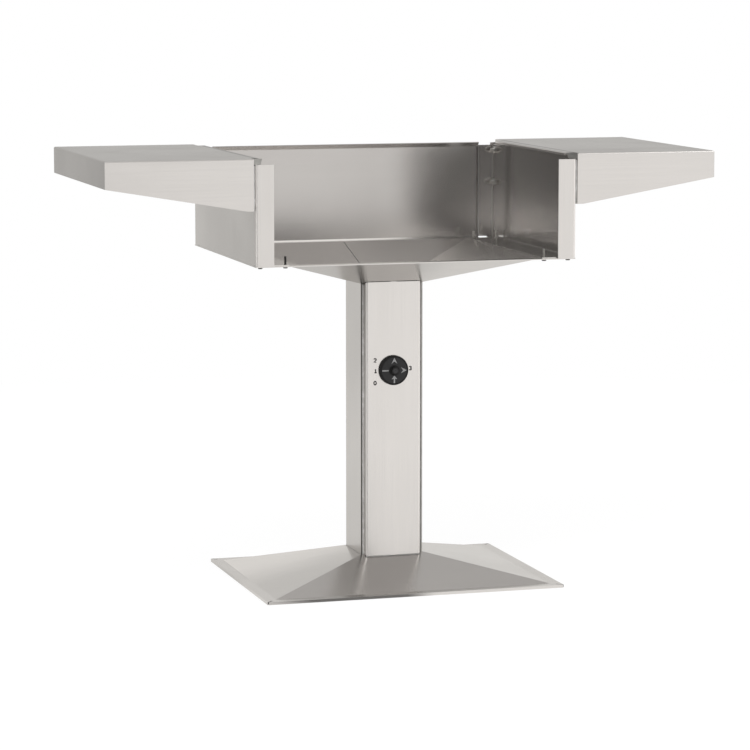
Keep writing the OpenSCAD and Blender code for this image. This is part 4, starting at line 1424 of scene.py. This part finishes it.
@dataclass
class Studio:
    """White floor and surroundings, soft lamps and the camera."""

    floor_radius: float = 3.2
    backdrop_top: float = 1.35
    camera_place: Point = (-1.895788, -6.281650, 1.293943)
    camera_turn: Point = (math.pi / 2 - 0.131563, 0.0, -0.290353)
    lens: float = 151.195
    glow: Point = (1.0, 0.985, 0.965)
    sky: float = 0.72
    floor_glow: float = 0.84
    target: Point = (0.0, 0.0, 0.5)
    lamps: tuple[tuple[str, Point, float, float], ...] = (
        ("key_lamp", (-2.6, -2.4, 3.6), 2.2, 60.0),
        ("fill_lamp", (3.0, -1.6, 3.2), 2.6, 35.0),
    )

    @staticmethod
    def surroundings(sketch: Sketch, way: bpy.types.NodeSocket) -> bpy.types.NodeSocket:
        """How bright the studio is in one direction, as polished metal shows it.

        Args:
            sketch: The tree that takes the nodes.
            way: Direction, as a vector socket.

        Returns:
            The brightness, where 1 is white.
        """
        parts = sketch.node("SeparateXYZ", {0: way}).outputs
        x, y, z = parts[0], parts[1], parts[2]
        behind = sketch.span(y, (-0.45, 0.0), (0.45, 1.0))
        back = sketch.span(z, (0.0, 0.57), (0.7, 0.5))
        low_front = sketch.span(x, (-0.08, 0.17), (0.17, 1.03))
        low_front = sketch.math("MAXIMUM", low_front, sketch.span(x, (-0.8, 0.95), (-0.5, 0.0)))
        high_front = sketch.span(x, (-0.35, 0.12), (0.3, 0.48))
        front = sketch.blend(sketch.span(z, (0.2, 0.0), (0.62, 1.0)), low_front, high_front)
        return sketch.blend(behind, front, back)

    @staticmethod
    def pool(sketch: Sketch, place: bpy.types.NodeSocket) -> bpy.types.NodeSocket:
        """How bright the pool of light behind the object is at one place, as polished metal shows it.

        Args:
            sketch: The tree that takes the nodes.
            place: The place, as a vector socket.

        Returns:
            The brightness, where 1 is white.
        """
        parts = sketch.node("SeparateXYZ", {0: place}).outputs
        across = sketch.span(parts[0], (-1.75, 0.36), (-0.85, 0.92))
        return sketch.blend(sketch.span(parts[2], (0.9, 0.0), (1.32, 1.0)), across, 0.57)

    def build_world(self) -> None:
        """Sets up the surroundings: white for the camera, soft tones for metal, plain light for the rest."""
        world = bpy.data.worlds.new("studio")
        world.use_nodes = True
        bpy.context.scene.world = world
        sketch = Sketch(world.node_tree)
        bright = self.surroundings(sketch, sketch.node("TexCoord").outputs["Generated"])
        seen = sketch.node("Background", {"Color": (1, 1, 1, 1), "Strength": 1.0}).outputs[0]
        shown = sketch.node("Background", {"Color": (*self.glow, 1), "Strength": bright}).outputs[0]
        plain = sketch.node("Background", {"Color": (1, 1, 1, 1), "Strength": self.sky}).outputs[0]
        sketch.node("OutputWorld", {"Surface": sketch.shown_to(shown, seen, plain)})

    def stage_piece(
        self,
        name: str,
        rings: Sequence[Sequence[Vector]],
        closed: bool,
        tone: Callable[[Sketch], bpy.types.NodeSocket],
        keeps_shadow: bool,
    ) -> None:
        """Adds a white surface that metal sees in its own tone and that is open from the other side.

        Args:
            name: The surface's name.
            rings: Its rows of points.
            closed: Whether the rows are rings.
            tone: Draws how bright metal sees it.
            keeps_shadow: Whether it is lit, so that a shadow shows on it.
        """
        mesh = bmesh.new()
        rows = [[mesh.verts.new(p) for p in ring] for ring in rings]
        count = len(rows[0])
        for low, high in zip(rows, rows[1:]):
            for i in range(count if closed else count - 1):
                j = (i + 1) % count
                mesh.faces.new((low[i], high[i], high[j], low[j]))
        if closed:
            mesh.faces.new(rows[0])
        data = bpy.data.meshes.new(name)
        mesh.to_mesh(data)
        mesh.free()
        made = bpy.data.objects.new(name, data)
        bpy.context.scene.collection.objects.link(made)
        data.materials.append(self.stage_paint(name, tone, keeps_shadow))

    def stage_paint(
        self, name: str, tone: Callable[[Sketch], bpy.types.NodeSocket], keeps_shadow: bool
    ) -> bpy.types.Material:
        """Mixes the white of one surface of the stage.

        Args:
            name: The surface's name.
            tone: Draws how bright metal sees it.
            keeps_shadow: Whether it is lit, so that a shadow shows on it.

        Returns:
            The material.
        """
        paint = bpy.data.materials.new(name + "_white")
        paint.use_nodes = True
        sketch = Sketch(paint.node_tree)
        clear = sketch.node("BsdfTransparent").outputs[0]
        glow = self.floor_glow if keeps_shadow else 1.0
        white = sketch.node("Emission", {"Color": (1, 1, 1, 1), "Strength": glow}).outputs[0]
        plain = clear
        if keeps_shadow:
            shade = sketch.node("BsdfDiffuse", {"Color": (0.2, 0.2, 0.2, 1)}).outputs[0]
            white = sketch.node("AddShader", {0: shade, 1: white}).outputs[0]
            plain = sketch.node("BsdfDiffuse", {"Color": (0.8, 0.8, 0.8, 1)}).outputs[0]
        shown = sketch.node("Emission", {"Color": (*self.glow, 1), "Strength": tone(sketch)}).outputs[0]
        other_side = sketch.node("NewGeometry").outputs["Backfacing"]
        mixed = sketch.shown_to(shown, white, plain)
        mixed = sketch.node("MixShader", {0: other_side, 1: mixed, 2: clear}).outputs[0]
        sketch.node("OutputMaterial", {"Surface": mixed})
        return paint

    def floor_tone(self, sketch: Sketch) -> bpy.types.NodeSocket:
        """Draws how bright metal sees the floor.

        Args:
            sketch: The floor's tree.

        Returns:
            The brightness, where 1 is white.
        """
        place = sketch.node("NewGeometry").outputs["Position"]
        way = sketch.node("VectorMath", {0: place, 1: (0.0, 0.0, -0.16)}, operation="ADD").outputs[0]
        way = sketch.node("VectorMath", {0: way}, operation="NORMALIZE").outputs[0]
        level = sketch.node("SeparateXYZ", {0: place}).outputs[1]
        behind = sketch.span(level, (-0.3, 0.0), (0.5, 1.0))
        return sketch.blend(behind, self.surroundings(sketch, way), self.pool(sketch, place))

    def backdrop_tone(self, sketch: Sketch) -> bpy.types.NodeSocket:
        """How bright metal sees the low backdrop."""
        return self.pool(sketch, sketch.node("NewGeometry").outputs["Position"])

    def build_stage(self) -> None:
        """Lays the round floor and stands a low curved backdrop at its back."""

        def arc(radius: float, level: float, turns: Sequence[float]) -> list[Vector]:
            """Points along a level circle round the origin."""
            return [Vector((radius * math.cos(turn), radius * math.sin(turn), level)) for turn in turns]

        turns = [math.tau * k / 96 for k in range(96)]
        disc = [arc(radius, 0.0, turns) for radius in (0.02, 0.6, self.floor_radius)]
        self.stage_piece("floor", disc, True, self.floor_tone, keeps_shadow=True)
        turns = [math.radians(12 + 156 * k / 60) for k in range(61)]
        wall = [arc(self.floor_radius, level, turns) for level in (0.0, 0.3, 0.7, 1.0, self.backdrop_top)]
        self.stage_piece("backdrop", wall, False, self.backdrop_tone, keeps_shadow=False)

    def lamp(self, name: str, place: Point, size: float, power: float) -> None:
        """Hangs a square soft lamp that faces the object.

        Args:
            name: The lamp's name.
            place: Where it hangs.
            size: Its side.
            power: Its power in watts.
        """
        light = bpy.data.lights.new(name, "AREA")
        light.size = size
        light.energy = power
        made = bpy.data.objects.new(name, light)
        made.location = place
        made.rotation_euler = (Vector(self.target) - Vector(place)).to_track_quat("-Z", "Y").to_euler()
        bpy.context.scene.collection.objects.link(made)

    def build_camera(self) -> None:
        """Places the camera at the photograph's viewing angle and makes it the scene's camera."""
        data = bpy.data.cameras.new("camera")
        data.lens = self.lens
        data.sensor_width = 36.0
        data.clip_start, data.clip_end = 0.1, 100.0
        made = bpy.data.objects.new("camera", data)
        made.location = self.camera_place
        made.rotation_euler = self.camera_turn
        bpy.context.scene.collection.objects.link(made)
        bpy.context.scene.camera = made

    def build(self) -> None:
        """Sets up the whole studio."""
        bpy.context.scene.view_settings.view_transform = "Standard"
        self.build_world()
        self.build_stage()
        for name, place, size, power in self.lamps:
            self.lamp(name, place, size, power)
        self.build_camera()


def main() -> None:
    """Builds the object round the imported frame."""
    logging.basicConfig(level=logging.INFO, format="%(name)s: %(message)s")
    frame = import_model()
    shop = Workshop(frame)
    tables = [SideTable(side) for side in Side]
    for part in (Plinth(), Column(), Tray(), Housing(), *tables, Control()):
        part.build(shop)
    Studio().build()


if __name__ == "__main__":
    main()
